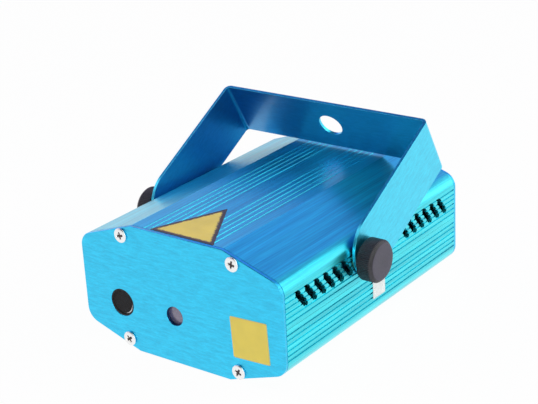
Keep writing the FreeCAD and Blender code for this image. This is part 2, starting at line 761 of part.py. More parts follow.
def build_bracket():
    """Bent strip with round feet, swung back until its bar rests just off the housing top."""
    low = "(foot_offset - strip_width / 2)"
    inside_top = "(bracket_reach - strip_thickness)"
    points = [("-" + ARM_OUTSIDE, low), ("-" + ARM_OUTSIDE, "bracket_reach"), (ARM_OUTSIDE, "bracket_reach"),
              (ARM_OUTSIDE, low), (ARM_INSIDE, low), (ARM_INSIDE, inside_top), ("-" + ARM_INSIDE, inside_top),
              ("-" + ARM_INSIDE, low)]
    strip = prism("bracket_strip", "XZ_Plane", points, "strip_width", ("0", "-strip_width / 2", "0"))
    doc.recompute()
    corners = strip.Tip.Shape.Vertexes
    outside = max(vertex.X for vertex in corners)
    inside = min(vertex.X for vertex in corners if vertex.X > 0)
    top = max(vertex.Z for vertex in corners)
    under = max(vertex.Z for vertex in corners if vertex.Z < top - TOUCH)
    round_edges(strip, "bend_radius", "y", [(outside, top), (-outside, top)])
    round_edges(strip, "bend_radius - strip_thickness", "y", [(inside, under), (-inside, under)])

    span = "(2 * %s + 2 * overrun)" % ARM_OUTSIDE
    blade = box("foot_blade", (span, "strip_width", "bracket_reach - foot_offset + overrun"),
                ("-%s / 2" % span, "-strip_width / 2", "foot_offset"))
    ends = rod("foot_rounds", "strip_width / 2", span, ("-%s / 2" % span, "0", "foot_offset"), ALONG_X)
    shaped = common("bracket_shaped", strip, fuse("foot_outline", blade, ends))
    pivots = rod("arm_holes", "stud_radius + 2 * running_clearance", span, ("-%s / 2" % span, "0", "0"),
                 ALONG_X)
    hanger = rod("hanging_hole", "bracket_hole_radius", "strip_thickness + 2 * overrun",
                 ("0", "0", "%s - overrun" % inside_top))
    bracket = cut("bracket", shaped, pivots, hanger)
    place(bracket, ("0", "pivot_y", PIVOT_Z), FreeCAD.Rotation(FreeCAD.Vector(-1, 0, 0), 1))
    bind(bracket, "Placement.Rotation.Angle", REST_TILT)
    node(bracket, "bracket")


def knurls(name, count, radius, length, middle, start, turn_axis):
    """Diamond bars round a grip, half sunk in it, for its knurled edge."""
    side = "knurl_width / sqrt(2)"
    bars = []
    for index in range(count):
        angle = FULL_TURN * index / count
        first = "%s + (%s - knurl_width / 2) * cos(%.6f)" % (middle[0], radius, angle)
        second = "%s + (%s - knurl_width / 2) * sin(%.6f)" % (middle[1], radius, angle)
        if turn_axis == "x":
            size, at = (length, side, side), (start, first, second)
            turn = FreeCAD.Rotation(FreeCAD.Vector(1, 0, 0), angle - DIAMOND_TURN)
        else:
            size, at = (side, length, side), (first, start, second)
            turn = FreeCAD.Rotation(FreeCAD.Vector(0, -1, 0), angle - DIAMOND_TURN)
        bars.append(box("%s%d" % (name, index), size, at, turn))
    return group(name, *bars)


def build_pivots():
    """Threaded inserts, studs, washers and knurled knobs at both ends of the tilt axis."""
    axis = ("pivot_y", PIVOT_Z)
    body = rod("insert_body", "insert_radius", "insert_length", ("%s - insert_length" % SIDE, *axis), ALONG_X)
    flange = rod("insert_rim", "insert_flange_radius", "insert_flange", (SIDE, *axis), ALONG_X)
    bore = rod("insert_bore", "stud_radius + running_clearance",
               "insert_length + insert_flange + 2 * overrun",
               ("%s - insert_length - overrun" % SIDE, *axis), ALONG_X)
    insert = cut("insert_right", fuse("insert_blank", body, flange), bore)
    node(group("pivot_inserts", insert, mirrored("insert_left", insert)), "pivot_inserts")

    stud = rod("right_stud", "stud_radius", "%s + stud_engagement - %s + stud_depth" % (KNOB_X, SIDE),
               ("%s - stud_depth" % SIDE, *axis), ALONG_X)
    disc = rod("washer_disc", "washer_radius", "washer_thickness", (WASHER_X, *axis), ALONG_X)
    eye = rod("washer_eye", "stud_radius + running_clearance", "washer_thickness + 2 * overrun",
              ("%s - overrun" % WASHER_X, *axis), ALONG_X)
    washer = cut("right_washer", disc, eye)
    grip = rod("knob_grip_disc", "knob_radius", "knob_grip", (KNOB_X, *axis), ALONG_X)
    bevel = cone("knob_bevel_cone", "knob_radius", "knob_face_radius", "knob_bevel",
                 ("%s + knob_grip" % KNOB_X, *axis), ALONG_X)
    socket = rod("knob_socket", "stud_radius + seat_clearance", "stud_engagement + overrun",
                 ("%s - overrun" % KNOB_X, *axis), ALONG_X)
    bars = knurls("knob_knurls", KNURLS, "knob_radius", "knob_grip + knob_bevel + 2 * overrun", axis,
                  "%s - overrun" % KNOB_X, "x")
    knob = cut("right_knob", fuse("knob_blank", grip, bevel), socket, bars)
    for name, piece in (("knob", knob), ("stud", stud), ("washer", washer)):
        node(piece, "right_" + name)
        node(mirrored("left_" + name, piece), "left_" + name)


OPTICS_Y = "(%s + optics_setback)" % SHELL_FRONT
OPTICS_REAR = "(%s + optics_thickness)" % OPTICS_Y
GEAR_Y = "(%s - gear_gap - gear_width)" % OPTICS_Y
MOTOR_Z = "(%s + (%d + %d) * gear_module / 2 + mesh_slack)" % (APERTURE_Z, GEAR_TEETH, PINION_TEETH)
MOTOR_SCREWS = ["aperture_x + motor_screw_spread", "aperture_x - motor_screw_spread"]
COMBINER_Y = "(%s + combiner_setback)" % SHELL_FRONT
BLOCK_Y = "(%s + block_setback)" % SHELL_FRONT
BLOCK_X = "(aperture_x + laser_spacing / 2)"
BLOCK_HALF = "(laser_spacing / 2 + laser_radius + block_wall)"
BLOCK_TOP = "(%s + laser_radius + block_wall)" % APERTURE_Z
LASERS = [("green", "aperture_x"), ("red", "aperture_x + laser_spacing")]
FOOT_SCREW_Y = "(%s + optics_foot_length / 2)" % OPTICS_REAR
BASE_SCREWS = [
    ("aperture_x - optics_screw_spread", FOOT_SCREW_Y),
    ("aperture_x + optics_screw_spread", FOOT_SCREW_Y),
    (BLOCK_X, "%s + combiner_length / 2" % COMBINER_Y),
    (BLOCK_X, "%s + block_length / 2 - block_screw_spread" % BLOCK_Y),
    (BLOCK_X, "%s + block_length / 2 + block_screw_spread" % BLOCK_Y),
]


def base_bores(name):
    """Blind holes that take the base screws, for the pieces that stand on the floor."""
    depth = "base_screw_length + seat_clearance"
    bores = [rod("%s%d" % (name, index), "screw_radius + seat_clearance", depth, (x, y, "0"))
             for index, (x, y) in enumerate(BASE_SCREWS)]
    return group(name, *bores)


def gear_blank(name, teeth, width, at, turn=UPRIGHT):
    """Spur gear about an axis along Y: a root disc and one tooth, repeated round it."""
    pitch_radius = "(%d * gear_module / 2)" % teeth
    root = "(%s - %s * gear_module)" % (pitch_radius, DEDENDUM_SHARE)
    tip = "(%s + %s * gear_module)" % (pitch_radius, ADDENDUM_SHARE)
    body = doc.addObject("PartDesign::Body", name)
    disc = attach(body, name + "_disc", "XZ_Plane")
    disc.addGeometry(Part.Circle(FreeCAD.Vector(), FreeCAD.Vector(0, 0, 1), 1.0), False)
    disc.addConstraint(Sketcher.Constraint("Coincident", 0, 3, -1, 1))
    number = disc.addConstraint(Sketcher.Constraint("Radius", 0, 1.0))
    bind(disc, "Constraints[%d]" % number, root)
    pad(body, disc, width, reverse=True)
    tooth = attach(body, name + "_tooth", "XZ_Plane")
    wide = "%s * gear_module" % ROOT_HALF_SHARE
    narrow = "%s * gear_module" % TIP_HALF_SHARE
    inside = "(%s - gear_module / 2)" % root
    draw(tooth, [("-" + wide, inside), (wide, inside), (wide, root), (narrow, tip), ("-" + narrow, tip),
                 ("-" + wide, root)])
    first = pad(body, tooth, width, reverse=True)
    ring = body.newObject("PartDesign::PolarPattern", name + "_ring")
    ring.Originals = [first]
    ring.Axis = (tooth, ["N_Axis"])
    ring.Angle = FULL_TURN
    ring.Occurrences = teeth
    body.Tip = ring
    return place(body, at, turn)


def build_grating_drive():
    """Upright plate, grating gear with its film and retainer, pinion, shaft and motor."""
    axis = ("aperture_x", APERTURE_Z)
    low = "shell_wall"
    rise = "housing_height - 2 * shell_wall - optics_headroom"
    upright = box("optics_upright", ("2 * optics_half_width", "optics_thickness", rise),
                  ("aperture_x - optics_half_width", OPTICS_Y, low))
    foot = box("optics_foot_plate", ("2 * optics_half_width", "optics_foot_length + optics_thickness",
                                     "optics_foot"),
               ("aperture_x - optics_half_width", OPTICS_Y, low))
    through = "(optics_thickness + 2 * overrun)"
    back = "%s - overrun" % OPTICS_Y
    bores = [rod("journal_bore", "journal_radius + running_clearance", through,
                 ("aperture_x", back, APERTURE_Z), ALONG_Y),
             rod("boss_bore", "motor_boss_radius + seat_clearance", through,
                 ("aperture_x", back, MOTOR_Z), ALONG_Y)]
    for index, x in enumerate(MOTOR_SCREWS):
        hole = rod("motor_screw_hole%d" % index, "motor_screw_radius + seat_clearance", through,
                   (x, back, MOTOR_Z), ALONG_Y)
        sink = cone("motor_screw_sink%d" % index, "motor_screw_head_radius + seat_clearance",
                    "motor_screw_radius + seat_clearance", "motor_screw_head",
                    (x, OPTICS_Y, MOTOR_Z), ALONG_Y)
        bores.append(fuse("motor_screw_opening%d" % index, hole, sink))
    blank = fitted("optics_fitted", fuse("optics_blank", upright, foot))
    node(cut("optics_plate", blank, group("optics_bores", *bores), base_bores("optics_screw_bores")),
         "optics_plate")

    half_tooth = FreeCAD.Rotation(FreeCAD.Vector(0, 1, 0), FULL_TURN / GEAR_TEETH / 2)
    teeth = gear_blank("gear_teeth", GEAR_TEETH, "gear_width", (axis[0], GEAR_Y, axis[1]), half_tooth)
    journal = rod("gear_journal", "journal_radius", "gear_width + 2 * gear_gap + optics_thickness",
                  (axis[0], GEAR_Y, axis[1]), ALONG_Y)
    seat = rod("gear_seat", "retainer_seat_radius",
               "gear_width + 2 * gear_gap + optics_thickness + retainer_width",
               (axis[0], GEAR_Y, axis[1]), ALONG_Y)
    bore = rod("gear_bore", "gear_bore_radius", "gear_width + optics_setback",
               (axis[0], "%s - overrun" % GEAR_Y, axis[1]), ALONG_Y)
    recess = rod("grating_seat", "grating_radius + seat_clearance", "grating_recess + overrun",
                 (axis[0], "%s - overrun" % GEAR_Y, axis[1]), ALONG_Y)
    node(cut("grating_gear", fuse("gear_solid", teeth, journal, seat), bore, recess), "grating_gear")
    node(rod("grating_disc", "grating_radius", "grating_thickness",
             (axis[0], "%s + grating_recess - grating_thickness" % GEAR_Y, axis[1]), ALONG_Y), "grating_disc")
    clip_y = "(%s + gear_gap)" % OPTICS_REAR
    clip = rod("retainer_ring", "retainer_radius", "retainer_width", (axis[0], clip_y, axis[1]), ALONG_Y)
    eye = rod("retainer_eye", "retainer_seat_radius + seat_clearance", "retainer_width + 2 * overrun",
              (axis[0], "%s - overrun" % clip_y, axis[1]), ALONG_Y)
    node(cut("gear_retainer", clip, eye), "gear_retainer")

    pinion = gear_blank("pinion_teeth", PINION_TEETH, "gear_width", ("aperture_x", GEAR_Y, MOTOR_Z))
    pinion_bore = rod("pinion_bore", "shaft_radius + seat_clearance", "gear_width + 2 * overrun",
                      ("aperture_x", "%s - overrun" % GEAR_Y, MOTOR_Z), ALONG_Y)
    node(cut("drive_pinion", pinion, pinion_bore), "drive_pinion")
    shaft_start = "(%s - shaft_nose)" % GEAR_Y
    shaft_length = "(%s - %s + shaft_engagement)" % (OPTICS_REAR, shaft_start)
    node(rod("motor_shaft", "shaft_radius", shaft_length, ("aperture_x", shaft_start, MOTOR_Z), ALONG_Y),
         "motor_shaft")

    can = rod("motor_can", "motor_radius", "motor_length", ("aperture_x", OPTICS_REAR, MOTOR_Z), ALONG_Y)
    boss = rod("motor_boss_ring", "motor_boss_radius", "motor_boss + motor_length",
               ("aperture_x", "%s - motor_boss" % OPTICS_REAR, MOTOR_Z), ALONG_Y)
    cap = rod("motor_cap_disc", "motor_cap_radius", "motor_cap + motor_length",
              ("aperture_x", OPTICS_REAR, MOTOR_Z), ALONG_Y)
    shaft_bore = rod("motor_bore", "shaft_radius + running_clearance",
                     "motor_boss + shaft_engagement + gear_gap + overrun",
                     ("aperture_x", "%s - motor_boss - overrun" % OPTICS_REAR, MOTOR_Z), ALONG_Y)
    sockets = [rod("motor_socket%d" % index, "motor_screw_radius + seat_clearance", "motor_screw_length",
                   (x, OPTICS_Y, MOTOR_Z), ALONG_Y) for index, x in enumerate(MOTOR_SCREWS)]
    blank = fuse("motor_blank", can, boss, cap)
    node(cut("drive_motor", blank, shaft_bore, group("motor_sockets", *sockets)), "drive_motor")
    screws = []
    for index, x in enumerate(MOTOR_SCREWS):
        shank = rod("motor_screw_shank%d" % index, "motor_screw_radius", "motor_screw_length",
                    (x, OPTICS_Y, MOTOR_Z), ALONG_Y)
        head = cone("motor_screw_cap%d" % index, "motor_screw_head_radius", "motor_screw_radius",
                    "motor_screw_head", (x, OPTICS_Y, MOTOR_Z), ALONG_Y)
        screws.append(fuse("motor_screw%d" % index, shank, head))
    node(group("motor_screws", *screws), "motor_screws")


def build_lasers():
    """Heat sink block with two laser modules, and the mirrors that bring their beams together."""
    block = box("block_blank", ("2 * %s" % BLOCK_HALF, "block_length", "%s - shell_wall" % BLOCK_TOP),
                ("%s - %s" % (BLOCK_X, BLOCK_HALF), BLOCK_Y, "shell_wall"))
    bores = []
    screws = []
    for name, x in LASERS:
        bores.append(rod(name + "_bore", "laser_radius + seat_clearance", "block_length + 2 * overrun",
                         (x, "%s - overrun" % BLOCK_Y, APERTURE_Z), ALONG_Y))
        grub_at = (x, "%s + block_length / 2" % BLOCK_Y, "%s - grub_length" % BLOCK_TOP)
        screws.append(rod(name + "_grub", "screw_radius", "grub_length", grub_at))
    grub_holes = [rod(name + "_grub_hole", "screw_radius + seat_clearance",
                      "laser_radius + block_wall + overrun",
                      (x, "%s + block_length / 2" % BLOCK_Y, APERTURE_Z)) for name, x in LASERS]
    node(cut("laser_block", fitted("block_fitted", block), group("laser_bores", *bores),
             group("grub_holes", *grub_holes), base_bores("block_screw_bores")), "laser_block")
    node(group("clamp_screws", *screws), "clamp_screws")
    for name, x in LASERS:
        front = "(%s + laser_overhang)" % BLOCK_Y
        can = rod(name + "_can", "laser_radius", "laser_length", (x, front, APERTURE_Z), ALONG_Y)
        nose = rod(name + "_nose", "laser_nose_radius", "laser_nose + laser_length",
                   (x, "%s - laser_nose" % front, APERTURE_Z), ALONG_Y)
        lens = rod(name + "_lens", "laser_lens_radius", "laser_lens_depth + overrun",
                   (x, "%s - laser_nose - overrun" % front, APERTURE_Z), ALONG_Y)
        node(cut(name + "_laser", fuse(name + "_laser_blank", can, nose), lens), name + "_laser")

    top = "(shell_wall + combiner_height)"
    mount = box("combiner_blank",
                ("laser_spacing + 2 * combiner_margin", "combiner_length", "combiner_height"),
                ("aperture_x - combiner_margin", COMBINER_Y, "shell_wall"))
    seats = []
    plates = []
    for name, x in (("combiner_plate", "aperture_x"), ("fold_mirror", "aperture_x + laser_spacing")):
        plates.append((name, angled_plate(name, x, "%s - mirror_seat" % top, "0")))
        seats.append(angled_plate(name + "_seat", x, "%s - mirror_seat - seat_clearance" % top,
                                  "seat_clearance"))
    node(cut("combiner_mount", fitted("mount_fitted", mount), group("mirror_seats", *seats),
             base_bores("combiner_screw_bores")), "combiner_mount")
    for name, plate in plates:
        node(plate, name)

    screws = []
    for index, (x, y) in enumerate(BASE_SCREWS):
        shank = rod("base_shank%d" % index, "screw_radius", "base_screw_length", (x, y, "0"))
        head = cone("base_head%d" % index, "base_screw_head_radius", "screw_radius", "base_screw_head",
                    (x, y, "0"))
        slot = box("base_slot%d" % index, ("2 * base_screw_head_radius + 2 * overrun", "cross_width",
                                           "base_screw_head / 2 + overrun"),
                   ("%s - base_screw_head_radius - overrun" % x, "%s - cross_width / 2" % y, "-overrun"))
        screws.append(cut("base_screw%d" % index, fuse("base_screw_blank%d" % index, shank, head), slot))
    node(group("base_screws", *screws), "base_screws")


def angled_plate(name, x, low, clearance):
    """Upright plate at 45 degrees to the beam, grown by a clearance for its seat."""
    length = "(mirror_length + 2 * %s)" % clearance
    thickness = "(mirror_thickness + 2 * %s)" % clearance
    y = "%s + combiner_length / 2" % COMBINER_Y
    corner_x = "%s - (%s - %s) / 2 / sqrt(2)" % (x, length, thickness)
    corner_y = "%s - (%s + %s) / 2 / sqrt(2)" % (y, length, thickness)
    turn = FreeCAD.Rotation(FreeCAD.Vector(0, 0, 1), DIAMOND_TURN)
    return box(name, (length, thickness, "mirror_height"), (corner_x, corner_y, low), turn)


def build_board():
    """Circuit board that slides in the left rails, with its chips, capacitors and connectors."""
    face = "(-%s + board_thickness / 2)" % RAIL_X
    front = "(%s + board_setback)" % SHELL_FRONT
    low = "(housing_height - %s + shell_wall * %s + board_slack)" % (chamfer_z(RAIL_X), SLOPE_LENGTH)
    rise = "(housing_height - 2 * %s)" % low
    node(box("main_board", ("board_thickness", "board_length", rise),
             ("-%s - board_thickness / 2" % RAIL_X, front, low)), "main_board")

    def spot(shares):
        return "%s + %s * board_length" % (front, shares[0]), "%s + %s * %s" % (low, shares[1], rise)

    chips = [box("chip%d" % index, ("chip_height", "chip_length", "chip_width"), (face, *spot(shares)))
             for index, shares in enumerate(CHIP_SHARES)]
    node(group("board_chips", *chips), "board_chips")
    cans = [rod("capacitor%d" % index, "capacitor_radius", "capacitor_height", (face, *spot(shares)), ALONG_X)
            for index, shares in enumerate(CAPACITOR_SHARES)]
    node(group("board_capacitors", *cans), "board_capacitors")
    plugs = [box("connector%d" % index, ("connector_height", "connector_length", "connector_width"),
                 (face, *spot(shares))) for index, shares in enumerate(CONNECTOR_SHARES)]
    node(group("board_connectors", *plugs), "board_connectors")


FAN_FRONT = "(%s - fan_depth)" % REAR_INSIDE
FAN_BORE = "(%s - fan_rim)" % FAN_HALF
FAN_SPREAD = "(%s - fan_screw_inset)" % FAN_HALF
FAN_SCREWS = [("fan_x %s %s" % (a, FAN_SPREAD), "%s %s %s" % (SEAM_Z, b, FAN_SPREAD))
              for a in "+-" for b in "+-"]


def build_fan():
    """Square frame with a bearing hub on spokes, a bladed rotor and four screws."""
    axis = ("fan_x", SEAM_Z)
    size = "2 * %s" % FAN_HALF
    frame = box("fan_block", (size, "fan_depth", size),
                ("fan_x - %s" % FAN_HALF, FAN_FRONT, "%s - %s" % (SEAM_Z, FAN_HALF)))
    bore = rod("fan_bore", FAN_BORE, "fan_depth + 2 * overrun",
               (axis[0], "%s - overrun" % FAN_FRONT, axis[1]), ALONG_Y)
    ring = cut("fan_ring", frame, bore)
    hub = rod("fan_hub", "fan_hub_radius", "fan_web", (axis[0], FAN_FRONT, axis[1]), ALONG_Y)
    spokes = []
    for index in range(FAN_SPOKES):
        angle = FULL_TURN * index / FAN_SPOKES
        turn = FreeCAD.Rotation(FreeCAD.Vector(0, -1, 0), angle)
        start = ("%s + fan_spoke / 2 * sin(%.6f)" % (axis[0], angle), FAN_FRONT,
                 "%s - fan_spoke / 2 * cos(%.6f)" % (axis[1], angle))
        reach = "(%s + %s) / 2" % (FAN_BORE, FAN_HALF)
        spokes.append(box("fan_spoke%d" % index, (reach, "fan_web", "fan_spoke"), start, turn))
    holes = [rod("fan_hole%d" % index, "screw_radius + seat_clearance", "fan_depth + 2 * overrun",
                 (x, "%s - overrun" % FAN_FRONT, z), ALONG_Y) for index, (x, z) in enumerate(FAN_SCREWS)]
    pin_bore = rod("fan_pin_bore", "fan_pin_radius + running_clearance", "fan_web + 2 * overrun",
                   (axis[0], "%s - overrun" % FAN_FRONT, axis[1]), ALONG_Y)
    node(cut("fan_frame", fuse("fan_blank", ring, hub, *spokes), group("fan_holes", *holes), pin_bore),
         "fan_frame")

    rotor_y = "(%s + fan_web + fan_gap)" % FAN_FRONT
    rotor_depth = "(fan_depth - fan_web - 2 * fan_gap)"
    cup = rod("rotor_cup", "fan_hub_radius", rotor_depth, (axis[0], rotor_y, axis[1]), ALONG_Y)
    pin = rod("rotor_pin", "fan_pin_radius", "fan_web + fan_gap + fan_pin_length",
              (axis[0], "%s - fan_pin_length + fan_web" % FAN_FRONT, axis[1]), ALONG_Y)
    blades = []
    width = "(%s / cos(%s))" % (rotor_depth, FAN_BLADE_PITCH) + " * sqrt(2) / 2"
    for index in range(FAN_BLADES):
        spin = FreeCAD.Rotation(FreeCAD.Vector(0, -1, 0), FULL_TURN * index / FAN_BLADES)
        lean = FreeCAD.Rotation(FreeCAD.Vector(1, 0, 0), FAN_BLADE_PITCH)
        blade = box("blade_blank%d" % index, ("%s - fan_tip_gap" % FAN_BORE, width, "fan_blade_thickness"),
                    ("0", "-%s / 2" % width, "-fan_blade_thickness / 2"))
        holder = group("blade%d" % index, blade)
        blades.append(place(holder, (axis[0], "%s + %s / 2" % (rotor_y, rotor_depth), axis[1]),
                            spin.multiply(lean)))
    node(fuse("fan_rotor", cup, pin, *blades), "fan_rotor")
    screws = [pan_screw("fan_screws%d" % index, x, REAR_FACE, z, 1, "screw_radius", "fan_screw_length",
                        "fan_screw_head_radius", "screw_head_height")
              for index, (x, z) in enumerate(FAN_SCREWS)]
    node(group("fan_screws", *screws), "fan_screws")


def build_rear():
    """Rear plate with fan grille, power inlet, mode switch and speed control."""
    holes = [plate_hole("rear_hole%d" % index, "screw_radius + hole_clearance", x, z, REAR_INSIDE)
             for index, (x, z) in enumerate(corner_spots() + FAN_SCREWS)]
    holes.append(plate_hole("grille_middle", "grille_hole_radius", "fan_x", SEAM_Z, REAR_INSIDE))
    for ring in range(1, GRILLE_RINGS + 1):
        count = FIRST_RING_HOLES * ring
        for index in range(count):
            angle = FULL_TURN * index / count
            x = "fan_x + %d * grille_ring_pitch * cos(%.6f)" % (ring, angle)
            z = "%s + %d * grille_ring_pitch * sin(%.6f)" % (SEAM_Z, ring, angle)
            holes.append(plate_hole("grille%d_%d" % (ring, index), "grille_hole_radius", x, z, REAR_INSIDE))
    holes.append(plate_hole("jack_hole", "jack_nose_radius + seat_clearance", JACK_X, JACK_Z, REAR_INSIDE))
    holes.append(plate_hole("bush_hole", "bush_radius + seat_clearance", POT_X, SEAM_Z, REAR_INSIDE))
    holes.append(box("switch_cutout", ("switch_width + 2 * seat_clearance", "plate_thickness + 2 * overrun",
                                       "switch_height + 2 * seat_clearance"),
                     ("%s - switch_width / 2 - seat_clearance" % SWITCH_X, "%s - overrun" % REAR_INSIDE,
                      "%s - switch_height / 2 - seat_clearance" % SWITCH_Z)))
    node(cut("rear_plate", end_plate("rear_plate", REAR_INSIDE), group("rear_holes", *holes)), "rear_plate")
    corner_screws("rear_screws", REAR_FACE, 1)
    build_jack()
    build_switch()
    build_speed_control()


def build_jack():
    """Barrel power inlet: body behind the plate, round nose through it, bore and centre pin."""
    body = box("jack_body", ("jack_width", "jack_depth", "jack_height"),
               ("%s - jack_width / 2" % JACK_X, "%s - jack_depth" % REAR_INSIDE,
                "%s - jack_height / 2" % JACK_Z))
    nose = rod("jack_nose_rod", "jack_nose_radius", "jack_nose + plate_thickness + jack_depth / 2",
               (JACK_X, "%s - jack_depth / 2" % REAR_INSIDE, JACK_Z), ALONG_Y)
    mouth = "(%s + jack_nose)" % REAR_FACE
    bore = rod("jack_bore", "jack_bore_radius", "jack_bore_depth + overrun",
               (JACK_X, "%s - jack_bore_depth" % mouth, JACK_Z), ALONG_Y)
    pin = rod("jack_pin", "jack_pin_radius", "jack_bore_depth",
              (JACK_X, "%s - jack_bore_depth - overrun" % mouth, JACK_Z), ALONG_Y)
    node(fuse("power_jack", cut("jack_shell", fuse("jack_blank", body, nose), bore), pin), "power_jack")


def build_switch():
    """Rocker in a bezelled body, with one half pressed at rest."""
    pivot = (SWITCH_X, REAR_FACE, SWITCH_Z)
    body = box("switch_case", ("switch_width", "switch_depth + plate_thickness", "switch_height"),
               ("%s - switch_width / 2" % SWITCH_X, "%s - switch_depth" % REAR_INSIDE,
                "%s - switch_height / 2" % SWITCH_Z))
    bezel = box("switch_bezel", ("bezel_width", "bezel_thickness", "bezel_height"),
                ("%s - bezel_width / 2" % SWITCH_X, REAR_FACE, "%s - bezel_height / 2" % SWITCH_Z))
    well_width = "(rocker_width + 2 * rocker_gap)"
    swing = "(rocker_length / 2 * cos(rocker_angle) + rocker_drop * sin(rocker_angle))"
    well_length = "(2 * %s + 2 * rocker_gap)" % swing
    well = box("switch_well", (well_width, "rocker_well + bezel_thickness + overrun", well_length),
               ("%s - %s / 2" % (SWITCH_X, well_width), "%s - rocker_well" % REAR_FACE,
                "%s - %s / 2" % (SWITCH_Z, well_length)))
    pin_length = "(rocker_width + 2 * rocker_pin_length)"
    eyes_length = "(%s + 2 * running_clearance)" % pin_length
    eyes = rod("switch_eyes", "rocker_pin_radius + running_clearance", eyes_length,
               ("%s - %s / 2" % (SWITCH_X, eyes_length), pivot[1], pivot[2]), ALONG_X)
    node(cut("switch_body", fuse("switch_blank", body, bezel), well, eyes), "switch_body")

    half = "rocker_length / 2"
    points = [("-rocker_drop", "-" + half), ("rocker_rise", "-" + half), ("rocker_dip", "0"),
              ("rocker_rise", half), ("-rocker_drop", half)]
    paddle = prism("rocker_paddle", "YZ_Plane", points, "rocker_width", ("-rocker_width / 2", "0", "0"))
    pins = rod("rocker_pins", "rocker_pin_radius", pin_length, ("-%s / 2" % pin_length, "0", "0"), ALONG_X)
    rocker = fuse("switch_rocker", paddle, pins)
    place(rocker, pivot, FreeCAD.Rotation(FreeCAD.Vector(1, 0, 0), 1))
    bind(rocker, "Placement.Rotation.Angle", "rocker_angle")
    node(rocker, "switch_rocker")


def build_speed_control():
    """Rotary control: body, bush and nut on the plate, spindle and knurled dial."""
    axis = (POT_X, SEAM_Z)
    can = rod("pot_can", "pot_radius", "pot_depth", (axis[0], "%s - pot_depth" % REAR_INSIDE, axis[1]),
              ALONG_Y)
    bush = rod("pot_bush", "bush_radius", "bush_length + pot_depth / 2",
               (axis[0], "%s - pot_depth / 2" % REAR_INSIDE, axis[1]), ALONG_Y)
    bore = rod("pot_bore", "spindle_radius + running_clearance", "bush_length + spindle_engagement + overrun",
               (axis[0], "%s - spindle_engagement" % REAR_INSIDE, axis[1]), ALONG_Y)
    node(cut("speed_control", fuse("pot_blank", can, bush), bore), "speed_control")
    nut = doc.addObject("Part::Prism", "nut_blank")
    nut.Polygon = NUT_SIDES
    bind(nut, "Circumradius", "nut_radius")
    bind(nut, "Height", "nut_thickness")
    place(nut, (axis[0], REAR_FACE, axis[1]), ALONG_Y)
    eye = rod("nut_eye", "bush_radius + seat_clearance", "nut_thickness + 2 * overrun",
              (axis[0], "%s - overrun" % REAR_FACE, axis[1]), ALONG_Y)
    node(cut("control_nut", nut, eye), "control_nut")

    dial_y = "(%s + bush_length + dial_gap)" % REAR_INSIDE
    spindle_y = "(%s - spindle_engagement + running_clearance)" % REAR_INSIDE
    node(rod("control_spindle", "spindle_radius", "%s + dial_seat - %s" % (dial_y, spindle_y),
             (axis[0], spindle_y, axis[1]), ALONG_Y), "control_spindle")
    grip = rod("dial_grip", "dial_radius", "dial_length", (axis[0], dial_y, axis[1]), ALONG_Y)
    socket = rod("dial_socket", "spindle_radius + seat_clearance", "dial_seat + overrun",
                 (axis[0], "%s - overrun" % dial_y, axis[1]), ALONG_Y)
    bars = knurls("dial_knurls", DIAL_KNURLS, "dial_radius", "dial_length + 2 * overrun", axis,
                  "%s - overrun" % dial_y, "y")
    mark = box("dial_mark", ("dial_mark_width", "dial_mark_depth + overrun", "dial_radius"),
               ("%s - dial_mark_width / 2" % axis[0], "%s + dial_length - dial_mark_depth" % dial_y, axis[1]))
    node(cut("speed_dial", grip, socket, bars, mark), "speed_dial")


def build_stickers():
    """Plain stickers on the front plate, the top and the right side."""
    across, along = "cos(front_sticker_turn)", "sin(front_sticker_turn)"
    corner = ("%s - front_sticker_inset - (front_sticker_width * %s - front_sticker_height * %s) / 2"
              % (SIDE, across, along), "%s - sticker_thickness" % FRONT_FACE,
              "%s - front_sticker_drop - (front_sticker_width * %s + front_sticker_height * %s) / 2"
              % (SEAM_Z, along, across))
    label = box("front_sticker", ("front_sticker_width", "sticker_thickness", "front_sticker_height"),
                corner, FreeCAD.Rotation(FreeCAD.Vector(0, -1, 0), 1))
    bind(label, "Placement.Rotation.Angle", "front_sticker_turn")
    node(label, "front_sticker")
    points = [("-top_sticker_width / 2", "0"), ("top_sticker_width / 2", "0"),
              ("-top_sticker_lean", "top_sticker_depth")]
    node(prism("top_sticker", "XY_Plane", points, "sticker_thickness",
               ("top_sticker_x", "%s + top_sticker_inset" % SHELL_FRONT, "housing_height")), "top_sticker")
    node(box("side_sticker", ("sticker_thickness", "side_sticker_width", "side_sticker_height"),
             (SIDE, "side_sticker_y - side_sticker_width / 2",
              "%s - side_sticker_drop - side_sticker_height" % PIVOT_Z)), "side_sticker")


def check_and_export():
    """Stop on any failed object or bad shape, then write one STEP file per piece."""
    doc.recompute()
    for item in doc.Objects:
        if "Invalid" in item.State or "Error" in item.State:
            raise RuntimeError("%s failed: %s" % (item.Name, item.State))
    for piece in NODES:
        shape = piece.Shape
        if shape.isNull() or not shape.isValid() or not shape.Solids:
            raise RuntimeError("%s has no valid shape" % piece.Label)
    os.makedirs("parts", exist_ok=True)
    for piece in NODES:
        piece.Shape.exportStep("parts/%s.step" % piece.Label)
        print("%-20s %2d solids %10.1f mm3" % (piece.Label, len(piece.Shape.Solids), piece.Shape.Volume))
    print(len(NODES), "pieces")


build_shells()
build_front()
build_bracket()
build_pivots()
build_grating_drive()
build_lasers()
build_board()
build_fan()
build_rear()
build_stickers()
check_and_export()
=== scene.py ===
"""Laser show projector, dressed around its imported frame. Laid out as an add-on and run as a script."""

